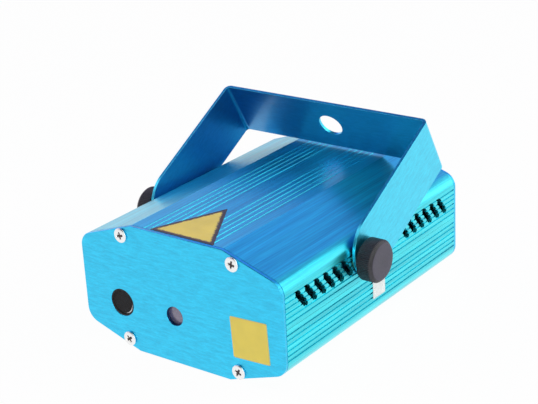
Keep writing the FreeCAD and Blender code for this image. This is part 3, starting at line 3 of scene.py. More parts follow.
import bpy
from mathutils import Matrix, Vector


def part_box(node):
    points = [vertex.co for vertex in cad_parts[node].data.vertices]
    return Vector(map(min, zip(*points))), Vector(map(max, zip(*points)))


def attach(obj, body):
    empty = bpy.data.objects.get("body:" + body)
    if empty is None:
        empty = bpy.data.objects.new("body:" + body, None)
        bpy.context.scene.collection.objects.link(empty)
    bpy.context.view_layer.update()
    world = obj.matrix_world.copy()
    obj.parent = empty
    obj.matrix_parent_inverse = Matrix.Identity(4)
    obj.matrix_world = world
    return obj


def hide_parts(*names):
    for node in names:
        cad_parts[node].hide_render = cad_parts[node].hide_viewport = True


bl_info = {
    "name": "Laser show projector",
    "version": (1, 0, 0),
    "blender": (4, 5, 0),
    "location": "View3D > Sidebar > Projector",
    "description": "Dresses the packed projector with finished surfaces and fittings, and sets its studio",
    "category": "Object",
}

import math

import bmesh
import bpy
import numpy as np
from bpy.props import FloatProperty, FloatVectorProperty, IntProperty, PointerProperty
from mathutils import Matrix, Vector

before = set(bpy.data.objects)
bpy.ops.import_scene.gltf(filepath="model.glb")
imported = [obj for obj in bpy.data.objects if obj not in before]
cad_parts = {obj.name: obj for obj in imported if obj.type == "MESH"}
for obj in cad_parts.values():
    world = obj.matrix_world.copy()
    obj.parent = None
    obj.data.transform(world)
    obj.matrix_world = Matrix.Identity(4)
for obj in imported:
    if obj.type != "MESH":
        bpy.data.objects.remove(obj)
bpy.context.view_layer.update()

MM = 0.001
FRONT = (0.0, -1.0, 0.0)
REAR = (0.0, 1.0, 0.0)
TOP = (0.0, 0.0, 1.0)
RIGHT = (1.0, 0.0, 0.0)
LEFT = (-1.0, 0.0, 0.0)
PHOTO_WIDTH = 538
SENSOR_MM = 36.0
# Distances in metres within which the points of a new surface, or the corners of a node's copy, are one
SAME_POINT = 1e-7
SAME_CORNER = 2e-7
# Angles in degrees: within a flat face, at a crease in the shading, at an edge that is softened
FLAT_ANGLE = 0.3
CREASE_ANGLE = 32.0
SOFTENED_ANGLE = 40.0
# Most that an eased corner takes of each side beside it
EASED_SHARE = 0.45
# Share of a pad's thickness that its sloping edge takes
PAD_EDGE_SHARE = 0.3
# Lean of the bracket's arms from upright, in degrees, which their brushing follows
ARM_LEAN = 61.54

# Middle of the housing, in metres, which the lamps face and the camera's place is measured from
SUBJECT = (0.0, 0.0, 0.025)
# Side of each square lamp, and the lamps' places, in metres
LAMP_SIZE = 0.8
LAMP_PLACES = {
    "key": (0.7, 0.45, 0.95),
    "fill": (-0.8, -0.55, 0.9),
    "front": (0.65, -1.2, 0.11),
    "high": (0.5, -0.35, 1.15),
}

# Tones of the room, from the left round by the front, the right and the rear, in steps of 60 degrees
ROOM_LOW = (
    (0.98, 0.80, 0.97), (0.02, 0.02, 0.03), (0.02, 0.02, 0.03),
    (0.20, 0.20, 0.17), (0.98, 0.93, 1.00), (0.14, 0.09, 0.10),
)
ROOM_MIDDLE = (
    (0.03, 0.03, 0.20), (0.02, 0.02, 0.02), (0.07, 0.09, 0.04),
    (0.70, 0.75, 0.55), (0.05, 0.07, 0.14), (0.22, 0.245, 0.65),
)
ROOM_ZENITH = (0.01, 0.01, 0.03)
ROOM_STRENGTH = 2.0
# Elevations in degrees at which the low tones end, the middle ones are full and the zenith's are full
ROOM_BANDS = (12.0, 38.0, 65.0)
# Share of plain white in what the camera and reflections see of the floor; the rest shows the shadow
FLOOR_WHITE = 0.97


# Properties that a user would change

def colour(name, description, value):
    """A colour property with its name, description and default."""
    return FloatVectorProperty(
        name=name, description=description, default=value, min=0.0, max=1.0, subtype="COLOR")


def length(name, description, millimetres):
    """A length property whose default is given in millimetres."""
    return FloatProperty(
        name=name, description=description, default=millimetres * MM, min=0.0, precision=5,
        subtype="DISTANCE", unit="LENGTH")


def angle(name, description, degrees):
    """An angle property whose default is given in degrees."""
    return FloatProperty(
        name=name, description=description, default=math.radians(degrees),
        subtype="ANGLE", unit="ROTATION")


def power(name, description, watts):
    """A lamp's power property."""
    return FloatProperty(name=name, description=description, default=watts, min=0.0, unit="POWER")


class ProjectorFinish(bpy.types.PropertyGroup):
    """Colours of the projector's finishes."""
    anodised_blue: colour("Anodised blue", "Housing shells", (0.050, 0.85, 1.0))
    plate_blue: colour("Plate blue", "Front and rear plates", (0.032, 0.63, 0.99))
    # Painted shade: darkens the walls of the front plate's bores, which lie in shade
    plate_bore_shade: colour("Plate inside", "Tint of the front plate's bores", (0.3, 0.15, 0.3))
    bracket_blue: colour("Bracket blue", "Bent strip", (0.055, 0.71, 0.99))
    # Painted shade: darkens the strip's inside faces, which lie in shade
    bracket_inside_shade: colour("Bracket inside", "Tint of the strip's inside", (1.0, 0.43, 0.65))
    knob_black: colour("Knob black", "Knobs and dial", (0.020, 0.019, 0.026))
    # Painted light: a paler tone on the knobs' flat faces, where light falls on them
    knob_face_painted_light: colour("Knob face", "Flat faces of the knobs", (0.052, 0.047, 0.076))
    washer_rubber: colour("Washer rubber", "Washers under the knobs", (0.02, 0.02, 0.022))
    sticker_yellow: colour("Sticker yellow", "Front and top stickers", (1.0, 0.78, 0.11))
    sticker_edge: colour("Sticker edge", "Dark edge of the top sticker", (0.045, 0.038, 0.025))
    sticker_white: colour("Sticker white", "Side sticker", (0.95, 0.96, 0.95))
    screw_steel: colour("Screw steel", "Plated screws", (0.95, 0.95, 0.95))
    # Soil and painted shade: the dark tone in the screws' crosses
    screw_soil_and_shade: colour("Screw soil", "Dirt in the screws' crosses", (0.06, 0.035, 0.035))
    microphone_can: colour("Microphone can", "Metal of the microphone", (0.62, 0.62, 0.64))
    felt_black: colour("Felt black", "Felt on the microphone", (0.004, 0.0035, 0.004))
    window_glass: colour("Window glass", "Beam window", (0.16, 0.13, 0.20))
    window_tint: colour("Window tint", "Coating of the beam window", (0.22, 0.19, 0.27))
    switch_black: colour("Switch black", "Switch and inlet", (0.018, 0.018, 0.02))
    mark_white: colour("Mark white", "Pointer and scale of the dial", (0.85, 0.86, 0.86))
    brass: colour("Brass", "Inserts and laser barrels", (0.78, 0.55, 0.22))
    board_green: colour("Board green", "Circuit board", (0.02, 0.18, 0.06))


class ProjectorSizes(bpy.types.PropertyGroup):
    """Sizes of the details that the dressed pieces add."""
    plate_edge: length("Plate edge", "Softening of the end plates' edges", 0.3)
    bracket_edge: length("Bracket edge", "Softening of the bracket's edges", 0.12)
    moulded_edge: length("Moulded edge", "Softening of switch and inlet", 0.20)
    knurl_count: IntProperty(name="Knurls", description="Ribs round a knob", default=72, min=12)
    knurl_depth: length("Knurl depth", "Depth of a knob's ribs", 0.22)
    flute_count: IntProperty(name="Flutes", description="Flutes round the dial", default=24, min=8)
    flute_depth: length("Flute depth", "Depth of the dial's flutes", 0.5)
    pointer_thickness: length("Pointer", "Thickness of the dial's pointer", 0.06)
    screw_radius: length("Screw head", "Radius of the plate screws' heads", 2.8)
    fan_screw_radius: length("Fan screw head", "Radius of the fan screws' heads", 2.6)
    shank_radius: length("Screw shank", "Radius of the screws' shanks", 1.5)
    recess_depth: length("Recess depth", "Depth of a screw's cross", 0.62)
    sticker_line: length("Sticker edge", "Width of the top sticker's dark edge", 1.5)


class ProjectorStage(bpy.types.PropertyGroup):
    """Studio light and the camera's place."""
    azimuth: angle("Azimuth", "Camera's turn round the projector", 37.4)
    elevation: angle("Elevation", "Camera's height above the floor", 21.83)
    roll: angle("Roll", "Camera's turn about its own line", -3.14)
    distance: length("Distance", "Camera to the middle of the housing", 558.62)
    right_offset: length("Offset to the right", "Subject in the frame", 2.85)
    down_offset: length("Offset down", "Subject in the frame", 17.21)
    focal_pixels: FloatProperty(
        name="Focal length", description="In pixels of the picture", default=1426.78)
    floor_radius: length("Floor radius", "Half the width of the floor", 6000.0)
    key_watts: power("Key", "Lamp above right, behind", 3.7)
    fill_watts: power("Fill", "Lamp above left", 2.5)
    front_watts: power("Front", "Low lamp in front", 7.5)
    high_watts: power("High", "Lamp overhead, to the right", 3.5)


# Surfaces worked out with numpy

def grid_faces(rows, columns):
    """Corner numbers of the quads of a grid whose last column is joined to its first."""
    index = np.arange(rows * columns).reshape(rows, columns)
    index = np.hstack([index, index[:, :1]])
    corners = [index[:-1, :-1], index[1:, :-1], index[1:, 1:], index[:-1, 1:]]
    return np.stack(corners, axis=-1).reshape(-1, 4)


def skin(name, grids, crease=CREASE_ANGLE, **layers):
    """Mesh over grids of points (copy, row, column, xyz), with layers as its point attributes.

    Each point is joined to the next row and column; equal points are merged, which closes poles.
    """
    copies, rows, columns = grids.shape[:3]
    quads = grid_faces(rows, columns)
    offsets = (np.arange(copies) * rows * columns)[:, None, None]
    faces = (quads[None] + offsets).reshape(-1, 4)
    mesh = bpy.data.meshes.new(name)
    mesh.from_pydata(grids.reshape(-1, 3).tolist(), [], faces.tolist())
    for key, values in layers.items():
        layer = mesh.attributes.new(key, "FLOAT", "POINT")
        layer.data.foreach_set("value", values.astype(np.float32).ravel())
    shape = bmesh.new()
    shape.from_mesh(mesh)
    bmesh.ops.remove_doubles(shape, verts=shape.verts, dist=SAME_POINT)
    bmesh.ops.recalc_face_normals(shape, faces=shape.faces)
    shape.to_mesh(mesh)
    shape.free()
    mesh.shade_smooth()
    mesh.set_sharp_from_angle(angle=math.radians(crease))
    return mesh


def eased(corners, reach, steps):
    """Profile with eased corners: (1-t)^2 a + 2t(1-t) c + t^2 b from before each corner c to after it."""
    corners = np.asarray(corners, float)
    inner = corners[1:-1]
    ends = []
    for side in (corners[:-2] - inner, corners[2:] - inner):
        size = np.linalg.norm(side, axis=1, keepdims=True)
        ends.append(inner + side * np.minimum(np.reshape(reach, (-1, 1)), EASED_SHARE * size) / size)
    t = np.linspace(0.0, 1.0, steps)[None, :, None]
    a, b, c = ends[0][:, None], ends[1][:, None], inner[:, None]
    curve = (1 - t) ** 2 * a + 2 * t * (1 - t) * c + t ** 2 * b
    return np.vstack([corners[:1], curve.reshape(-1, corners.shape[1]), corners[-1:]])


def closed_outline(corners, reach, steps=7):
    """Closed outline with eased corners, from the same curve as eased."""
    corners = np.asarray(corners, float)
    looped = np.vstack([corners[-1:], corners, corners[:1]])
    return eased(looped, reach, steps)[1:-1]


def revolved(profile, turns, ripple=None):
    """Profile (radius, height) turned about z: x = r cos a, y = r sin a, z = h.

    ripple is taken from the radius at each row and turn.
    """
    a = np.linspace(0.0, 2 * math.pi, turns, endpoint=False)
    r = np.repeat(profile[:, :1], turns, axis=1)
    if ripple is not None:
        r = r - ripple(a)[None, :] * np.asarray(profile[:, 2:3])
    h = np.repeat(profile[:, 1:2], turns, axis=1)
    return np.stack([r * np.cos(a), r * np.sin(a), h], axis=-1)


def carried(points, axis, origin, up=TOP):
    """Points turned so that z lies along axis and x along up, then moved to origin."""
    z = np.asarray(axis, float)
    x = np.asarray(up, float)
    x = x - z * (x @ z)
    x = x / np.linalg.norm(x)
    y = np.cross(z, x)
    return points @ np.stack([x, y, z]) + np.asarray(origin, float)


def pad(outline, thickness, shares):
    """Flat closed pad on an outline: rows scale the outline towards its middle, s * p, at two heights."""
    scales = np.concatenate([[0.0, 1.0, 1.0], shares, [0.0]])
    slope = PAD_EDGE_SHARE * thickness
    heights = np.concatenate([[0.0, 0.0, thickness - slope], np.full(len(shares) + 1, thickness)])
    flat = scales[:, None, None] * outline[None]
    return np.concatenate([flat, np.broadcast_to(heights[:, None, None], flat.shape[:2] + (1,))], axis=-1)


def box_of(node):
    """Lowest and highest corners of a node's box, in metres."""
    return tuple(np.array(corner, float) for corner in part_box(node))


def centre_of(node):
    """Middle of a node's box, in metres."""
    low, high = box_of(node)
    return (low + high) / 2


def size_of(node):
    """Size of a node's box, in metres."""
    low, high = box_of(node)
    return high - low


# Materials

def rgba(value):
    """A colour with its alpha, or another node's output as it is."""
    if isinstance(value, bpy.types.NodeSocket):
        return value
    return tuple(value)[:3] + (1.0,)


class NodeTree:
    """Short ways to add nodes to a tree and to join them."""

    def __init__(self, tree):
        self.tree = tree

    def join(self, value, socket):
        """Set a socket or link an output into it."""
        if isinstance(value, bpy.types.NodeSocket):
            self.tree.links.new(value, socket)
        else:
            socket.default_value = value

    def node(self, kind, inputs=(), **settings):
        """Add a node, with its settings and its inputs by name or number."""
        made = self.tree.nodes.new(kind)
        for key, value in settings.items():
            setattr(made, key, value)
        for key, value in dict(inputs).items():
            self.join(value, made.inputs[key])
        return made

    def combined(self, operation, first, second):
        """Two values put together by one of the Math node's operations."""
        return self.node("ShaderNodeMath", {0: first, 1: second}, operation=operation).outputs[0]

    def mixed(self, factor, first, second, way="MIX"):
        """Colour between two colours by a factor."""
        inputs = {0: factor, 6: rgba(first), 7: rgba(second)}
        return self.node("ShaderNodeMix", inputs, data_type="RGBA", blend_type=way).outputs[2]


class Finish(NodeTree):
    """A node material in the making: its shader, and short ways to add textures to it."""

    def __init__(self, name, base, metallic=0.0, roughness=0.5, **more):
        self.material = bpy.data.materials.new(name)
        self.material.use_nodes = True
        super().__init__(self.material.node_tree)
        self.shader = self.tree.nodes["Principled BSDF"]
        self.base = rgba(base)
        self.feed("Base Color", self.base)
        self.feed("Metallic", metallic)
        self.feed("Roughness", roughness)
        for socket, value in more.items():
            self.feed(socket.replace("_", " ").title().replace("Ior", "IOR"), value)

    def feed(self, socket, value):
        """Give a shader socket a value, or join another node's output to it."""
        self.join(value, self.shader.inputs[socket])

    def place(self, scale, turn=(0.0, 0.0, 0.0)):
        """Object coordinates turned, then stretched by scale per metre."""
        where = self.node("ShaderNodeTexCoord").outputs["Object"]
        turned = self.node("ShaderNodeMapping", {"Vector": where, "Rotation": turn})
        return self.node("ShaderNodeMapping", {"Vector": turned.outputs[0], "Scale": scale}).outputs[0]

    def noise(self, vector, scale=1.0, detail=3.0, rough=0.55):
        """Noise over a vector, around 0.5."""
        inputs = {"Vector": vector, "Scale": scale, "Detail": detail, "Roughness": rough}
        return self.node("ShaderNodeTexNoise", inputs).outputs[0]

    def grain(self, scale, detail=3.0, rough=0.55):
        """Noise that is alike in all directions, with scale waves per metre."""
        return self.noise(self.place((scale, scale, scale)), 1.0, detail, rough)

    def attribute(self, name):
        """Value of a mesh attribute."""
        return self.node("ShaderNodeAttribute", attribute_name=name).outputs["Fac"]

    def between(self, value, low, high, start=0.3, end=0.7):
        """A value from start..end carried over to low..high."""
        inputs = {"Value": value, 1: start, 2: end, 3: low, 4: high}
        return self.node("ShaderNodeMapRange", inputs).outputs[0]

    def shade(self, share):
        """The base colour times a share."""
        return tuple(min(1.0, c * share) for c in self.base[:3])

    def bump(self, height, strength, distance):
        """Bump from a height into the shader's normal."""
        inputs = {"Height": height, "Strength": strength, "Distance": distance}
        self.feed("Normal", self.node("ShaderNodeBump", inputs).outputs[0])


def brushed(name, base, scale, turn=(0.0, 0.0, 0.0), dark=0.84, inside=None):
    """Brushed and anodised aluminium: fine noise drawn out along the brushing.

    dark is the darkest streak's share of the base colour. inside is a painted shade, multiplied into the
    faces that the inside attribute names.
    """
    made = Finish(name, base, metallic=1.0, coat_weight=0.35, coat_roughness=0.18, coat_ior=1.6)
    where = made.place(scale, turn)
    fine = made.noise(where, 1.0, 2.0, 0.6)
    broad = made.noise(where, 0.23, 2.0, 0.5)
    both = made.combined("ADD", fine, broad)
    streak = made.between(both, 0.0, 1.0, 0.72, 1.28)
    tone = made.mixed(streak, made.shade(dark), made.shade(1.06))
    if inside is not None:
        # Painted shade: the inside colour is multiplied into the faces that lie in shade
        tone = made.mixed(made.attribute("inside"), tone, inside, "MULTIPLY")
    made.feed("Base Color", tone)
    made.feed("Roughness", made.between(fine, 0.28, 0.44))
    made.bump(both, 0.14, 0.12 * MM)
    return made.material


def plain_metal(name, base, scale, rough=(0.22, 0.42), dark=0.75, depth=0.15):
    """Plated or turned metal: a faint cloud in its colour, fine marks in its gloss."""
    made = Finish(name, base, metallic=1.0)
    cloud = made.grain(180.0)
    marks = made.noise(made.place(scale), 1.0, 3.0, 0.6)
    made.feed("Base Color", made.mixed(made.between(cloud, 0.0, 1.0), made.shade(dark), made.base))
    made.feed("Roughness", made.between(marks, rough[0], rough[1]))
    made.bump(marks, depth, 0.1 * MM)
    return made.material


def recessed_metal(name, base, soil_and_shade):
    """Bright plated screw whose cross, by the recess attribute, holds soil and painted shade."""
    made = Finish(name, base, metallic=1.0)
    marks = made.grain(2500.0, 3.0, 0.6)
    plate = made.mixed(made.between(marks, 0.0, 1.0), made.shade(0.9), made.base)
    deep = made.between(made.attribute("recess"), 0.0, 1.0, 0.25, 0.8)
    # Soil and painted shade in the cross, where the recess lies in shade
    made.feed("Base Color", made.mixed(deep, plate, soil_and_shade))
    made.feed("Roughness", made.between(marks, 0.2, 0.34))
    made.feed("Metallic", made.between(deep, 1.0, 0.0, 0.0, 1.0))
    made.bump(marks, 0.1, 0.1 * MM)
    return made.material


def moulded(name, base, grain=2600.0, rough=(0.38, 0.56), light=1.5, depth=0.22, worn=None, **more):
    """Moulded plastic: a fine leathery grain, and painted light: a paler tone where the given attribute
    says so.
    """
    made = Finish(name, base, **more)
    fine = made.grain(grain, 4.0)
    cloud = made.grain(140.0)
    tone = made.mixed(made.between(cloud, 0.0, 1.0), made.base, made.shade(light))
    # Painted light: a paler tone on the faces that the attribute marks
    if worn is not None:
        tone = made.mixed(made.attribute("worn"), tone, worn)
    made.feed("Base Color", tone)
    made.feed("Roughness", made.between(fine, rough[0], rough[1]))
    made.bump(fine, depth, 0.2 * MM)
    return made.material


def printed_sticker(name, base, edge, line):
    """Vinyl sticker: fibrous gloss, and a dark edge of a given width by the inset attribute."""
    made = Finish(name, base, coat_weight=0.25, coat_roughness=0.3)
    fibre = made.grain(900.0, 4.0)
    fade = made.grain(90.0)
    face = made.mixed(made.between(fade, 0.0, 1.0), made.shade(0.86), made.base)
    ragged = made.combined("MULTIPLY", made.between(fibre, -0.25, 0.25), line)
    reach = made.combined("ADD", made.attribute("inset"), ragged)
    within = made.between(reach, 0.0, 1.0, line * 0.75, line * 1.25)
    made.feed("Base Color", made.mixed(within, edge, face))
    made.feed("Roughness", made.between(fibre, 0.32, 0.52))
    made.bump(fibre, 0.1, 0.1 * MM)
    return made.material


def felt(name, base):
    """Pressed felt: coarse fibres in height and colour."""
    made = Finish(name, base, roughness=0.95, sheen_weight=0.05)
    fibre = made.grain(3200.0, 5.0, 0.7)
    made.feed("Base Color", made.mixed(made.between(fibre, 0.0, 1.0), made.base, made.shade(2.6)))
    made.bump(fibre, 0.8, 0.4 * MM)
    return made.material


def coated_glass(name, base, tint, rough=0.08):
    """Coated window: a tint that wanders over a smooth, strongly reflecting face."""
    made = Finish(name, base, roughness=rough, metallic=0.35, coat_weight=1.0, coat_roughness=0.03)
    wander = made.grain(220.0, 2.0)
    made.feed("Base Color", made.mixed(made.between(wander, 0.0, 1.0), made.base, tint))
    made.feed("Roughness", made.between(wander, rough * 0.7, rough * 1.6))
    return made.material


def ruled_film(name, base, tint):
    """Grating film: fine crossed rulings that break up its gloss."""
    made = Finish(name, base, metallic=0.6, coat_weight=0.8, coat_roughness=0.06)
    waves = []
    for turn in (0.0, math.pi / 2):
        where = made.place((1.0, 1.0, 1.0), (0.0, turn, 0.0))
        wave = made.node("ShaderNodeTexWave", {"Vector": where, "Scale": 1500.0}, wave_type="BANDS")
        waves.append(wave.outputs[1])
    ruling = made.combined("MULTIPLY", waves[0], waves[1])
    made.feed("Base Color", made.mixed(ruling, made.base, tint))
    made.feed("Roughness", made.between(ruling, 0.08, 0.3, 0.0, 1.0))
    made.bump(ruling, 0.2, 0.1 * MM)
    return made.material


def solder_mask(name, base):
    """Circuit board: paler tracks under a green varnish, in bricks of uneven length."""
    made = Finish(name, base, coat_weight=0.6, coat_roughness=0.12)
    where = made.place((420.0, 420.0, 420.0), (0.0, math.pi / 2, 0.0))
    inputs = {"Vector": where, "Mortar Size": 0.06}
    bricks = made.node("ShaderNodeTexBrick", inputs, offset=0.37).outputs["Fac"]
    speck = made.grain(1500.0)
    made.feed("Base Color", made.mixed(bricks, made.base, made.shade(2.4)))
    made.feed("Roughness", made.between(speck, 0.25, 0.45))
    made.bump(bricks, 0.3, 0.1 * MM)
    return made.material


# Pieces

def piece(mesh, body, slot, material, *nodes):
    """Object for a mesh that rides on a body, takes a finish and may stand for CAD nodes; its slot is not
    used.
    """
    made = bpy.data.objects.new(mesh.name, mesh)
    bpy.context.scene.collection.objects.link(made)
    mesh.materials.clear()
    mesh.materials.append(material)
    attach(made, body)
    if nodes:
        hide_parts(*nodes)
    return made


def softened(node, name, width, body, slot, material):
    """Merged copy of a node's mesh whose sharp edges are rounded by a Bevel modifier."""
    shape = bmesh.new()
    shape.from_mesh(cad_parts[node].data)
    bmesh.ops.remove_doubles(shape, verts=shape.verts, dist=SAME_CORNER)
    bmesh.ops.dissolve_limit(
        shape, angle_limit=math.radians(FLAT_ANGLE), verts=shape.verts, edges=shape.edges,
        delimit={"NORMAL"})
    mesh = bpy.data.meshes.new(name)
    shape.to_mesh(mesh)
    shape.free()
    mesh.shade_smooth()
    mesh.set_sharp_from_angle(angle=math.radians(CREASE_ANGLE))
    made = piece(mesh, body, slot, material, node)
    bevel = made.modifiers.new("Softened edges", "BEVEL")
    bevel.width = width
    bevel.segments = 2
    bevel.limit_method = "ANGLE"
    bevel.angle_limit = math.radians(SOFTENED_ANGLE)
    bevel.harden_normals = True
    bevel.use_clamp_overlap = False
    return made


def mark_shaded_inside(mesh, middle):
    """Inside attribute, where painted shade goes: 1 on faces that look at a middle point p, n . (p - c) >
    |p - c| / 2.
    """
    centres = np.empty(len(mesh.polygons) * 3)
    normals = np.empty(len(mesh.polygons) * 3)
    mesh.polygons.foreach_get("center", centres)
    mesh.polygons.foreach_get("normal", normals)
    towards = middle - centres.reshape(-1, 3)
    facing = (normals.reshape(-1, 3) * towards).sum(axis=1) / np.linalg.norm(towards, axis=1)
    layer = mesh.attributes.new("inside", "FLOAT", "FACE")
    layer.data.foreach_set("value", (facing > 0.5).astype(np.float32))


def dress(material, *nodes):
    """Give CAD nodes a finish on their own material slots."""
    for node in nodes:
        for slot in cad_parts[node].material_slots:
            slot.material = material


def cross_screws(name, node, plate, radius, axis, angles, material):
    """Domed cross recess screws, one at each corner of a node's box.

    Head: h = H (e + (1 - e) sqrt(1 - s^3)) over r = s R, with e the edge's share of the height.
    It is lowered inside the cross, where the nearer arm's line is within half an arm's width.
    Shank: a cylinder under the head, closed at its tip.
    """
    sizes = bpy.context.scene.projector_sizes
    shank = sizes.shank_radius
    edge_share = 0.65
    arm_share, arm_slope_share = 0.17, 0.06
    cross_share, cross_slope_share = 0.56, 0.12
    floor_rise_share = 0.35
    corner = 0.3 * MM
    easing = np.array([0.1, 0.05, 0.05, 0.4]) * MM
    box = box_of(node)
    side = 0 if axis == FRONT else 1
    seat = box_of(plate)[side][1]
    height = abs(box[side][1] - seat)
    reach = size_of(node)[1] - height
    edge = height * edge_share
    s = np.concatenate([np.linspace(0.0, 0.9, 24), np.linspace(0.925, 1.0, 6)])
    top = np.stack([s * radius, edge + (height - edge) * np.sqrt(np.maximum(0.0, 1 - s ** 3))], axis=1)
    below = [(radius, edge), (radius, corner), (radius - corner, 0.0), (shank, 0.0), (shank, -reach),
             (0.0, -reach)]
    local = revolved(np.vstack([top, eased(below, easing, 3)[1:]]), 96)
    head = local[:len(s)]
    arm = np.minimum(np.abs(head[..., 0]), np.abs(head[..., 1]))
    along = np.hypot(head[..., 0], head[..., 1])
    inside = np.clip((arm_share * radius - arm) / (arm_slope_share * radius), 0, 1)
    inside = inside * np.clip((cross_share * radius - along) / (cross_slope_share * radius), 0, 1)
    head[..., 2] -= sizes.recess_depth * inside * (1.0 - floor_rise_share * along / radius)
    # The recess attribute also places the soil and painted shade in the cross
    recess = np.zeros(local.shape[:2])
    recess[:len(s)] = inside
    inner = (box[0] + radius, box[1] - radius)
    grids = []
    for turn, (column, row) in zip(angles, ((0, 0), (0, 1), (1, 0), (1, 1))):
        a = math.radians(turn)
        spun = local @ np.array([[math.cos(a), math.sin(a), 0], [-math.sin(a), math.cos(a), 0], [0, 0, 1]])
        grids.append(carried(spun, axis, (inner[column][0], seat, inner[row][2])))
    mesh = skin(name, np.stack(grids), crease=38.0, recess=np.stack([recess] * len(grids)))
    return piece(mesh, "housing", "screw_steel", material, node)


# Operators

class PROJECTOR_OT_shells(bpy.types.Operator):
    """Brush and anodise the two housing shells"""
    bl_idname = "projector.shells"
    bl_label = "Housing shells"

    def execute(self, context):
        look = context.scene.projector_finish
        shell = brushed("brushed_shell", look.anodised_blue, (2300.0, 45.0, 2300.0), dark=0.70)
        dress(shell, "upper_shell", "lower_shell")
        return {"FINISHED"}


class PROJECTOR_OT_plates(bpy.types.Operator):
    """Soften and brush the front and rear plates"""
    bl_idname = "projector.plates"
    bl_label = "End plates"

    def execute(self, context):
        look = context.scene.projector_finish
        edge = context.scene.projector_sizes.plate_edge
        plate = brushed("brushed_plate", look.plate_blue, (900.0, 900.0, 5200.0), dark=0.8,
                        inside=look.plate_bore_shade)
        made = softened("front_plate", "front_plate_brushed", edge, "housing", "plate_blue", plate)
        # Painted shade on the window bore's faces, those that look at the window
        mark_shaded_inside(made.data, centre_of("aperture_window"))
        softened("rear_plate", "rear_plate_brushed", edge, "housing", "plate_blue", plate)
        return {"FINISHED"}


class PROJECTOR_OT_bracket(bpy.types.Operator):
    """Soften and brush the bent bracket"""
    bl_idname = "projector.bracket"
    bl_label = "Bracket"

    def execute(self, context):
        look = context.scene.projector_finish
        edge = context.scene.projector_sizes.bracket_edge
        strip = brushed("brushed_bracket", look.bracket_blue, (1300.0, 5200.0, 1300.0),
                        (math.radians(ARM_LEAN), 0.0, 0.0), inside=look.bracket_inside_shade)
        made = softened("bracket", "bracket_brushed", edge, "bracket", "bracket_blue", strip)
        # Painted shade on the strip's inside faces, those that look at its middle
        mark_shaded_inside(made.data, centre_of("right_stud") * (0.0, 1.0, 1.0))
        return {"FINISHED"}


class PROJECTOR_OT_knobs(bpy.types.Operator):
    """Build the two knurled knobs and finish what they clamp"""
    bl_idname = "projector.knobs"
    bl_label = "Knobs"

    def build(self, node, stud, axis, material, sizes):
        """Knob: a profile turned about its axis, whose grip is lowered by d (1 - |sin(n a / 2)|)."""
        foot_inset, foot_rise = 0.9 * MM, 0.5 * MM
        shoulder_inset, shoulder_drop = 1.15 * MM, 1.2 * MM
        dish_inset, dish_depth = 2.5 * MM, 0.12 * MM
        face_light_reach = 0.4 * MM
        easing = np.array([0.05, 0.1, 0.3, 0.2, 0.3, 0.3, 1.5]) * MM
        out = np.asarray(axis, float)
        tall, radius = size_of(node)[0], size_of(node)[2] / 2
        foot = centre_of(node) - out * tall / 2
        bore = size_of(stud)[2] / 2
        depth = abs((centre_of(stud) + out * size_of(stud)[0] / 2 - foot) @ out)
        face = radius - shoulder_inset
        corners = [(0, depth), (bore, depth), (bore, 0), (radius - foot_inset, 0), (radius, foot_rise),
                   (radius, tall - shoulder_drop), (face, tall), (face - dish_inset, tall),
                   (0, tall - dish_depth)]
        profile = eased(corners, easing, 5)
        grip = np.clip((profile[:, :1] - face) / (radius - face), 0.0, 1.0)
        profile = np.hstack([profile, grip])
        count = sizes.knurl_count
        turns = count * 8

        def ripple(a):
            return sizes.knurl_depth * (1.0 - np.abs(np.sin(a * count / 2)))

        grid = carried(revolved(profile, turns, ripple), axis, foot)
        # Painted light: 1 on the knob's flat face, which is given a paler tone for the light on it
        worn = np.clip((profile[:, 1] - tall) / face_light_reach + 1.0, 0.0, 1.0) * (profile[:, 0] < face)
        worn = np.repeat(worn[:, None], turns, axis=1)
        mesh = skin(node + "_knurled", grid[None], crease=40.0, worn=worn[None])
        return piece(mesh, node, "knob_black", material, node)

    def execute(self, context):
        look = context.scene.projector_finish
        sizes = context.scene.projector_sizes
        # The knobs' flat faces take a paler painted light
        black = moulded("knurled_knob", look.knob_black, light=1.35, rough=(0.3, 0.5), worn=look.knob_face_painted_light)
        rubber = moulded("washer_rubber", look.washer_rubber, rough=(0.7, 0.85), depth=0.35)
        steel = plain_metal("stud_steel", look.screw_steel, (6000.0, 300.0, 300.0))
        self.build("right_knob", "right_stud", RIGHT, black, sizes)
        self.build("left_knob", "left_stud", LEFT, black, sizes)
        dress(rubber, "right_washer", "left_washer")
        dress(steel, "right_stud", "left_stud")
        dress(plain_metal("insert_brass", look.brass, (3000.0, 600.0, 3000.0)), "pivot_inserts")
        return {"FINISHED"}


class PROJECTOR_OT_screws(bpy.types.Operator):
    """Build the cross recess screws of the plates and the fan"""
    bl_idname = "projector.screws"
    bl_label = "Screws"

    def execute(self, context):
        look = context.scene.projector_finish
        sizes = context.scene.projector_sizes
        steel = recessed_metal("plated_screw", look.screw_steel, look.screw_soil_and_shade)
        cross_screws("front_cross_screws", "front_screws", "front_plate", sizes.screw_radius, FRONT,
                     (35, 12, 64, 80), steel)
        cross_screws("rear_cross_screws", "rear_screws", "rear_plate", sizes.screw_radius, REAR,
                     (20, 71, 48, 5), steel)
        cross_screws("fan_cross_screws", "fan_screws", "rear_plate", sizes.fan_screw_radius, REAR,
                     (11, 57, 33, 76), steel)
        plain = plain_metal("inner_screw", look.screw_steel, (2500.0, 2500.0, 2500.0), (0.2, 0.36), 0.8)
        dress(plain, "motor_screws", "clamp_screws", "base_screws")
        return {"FINISHED"}


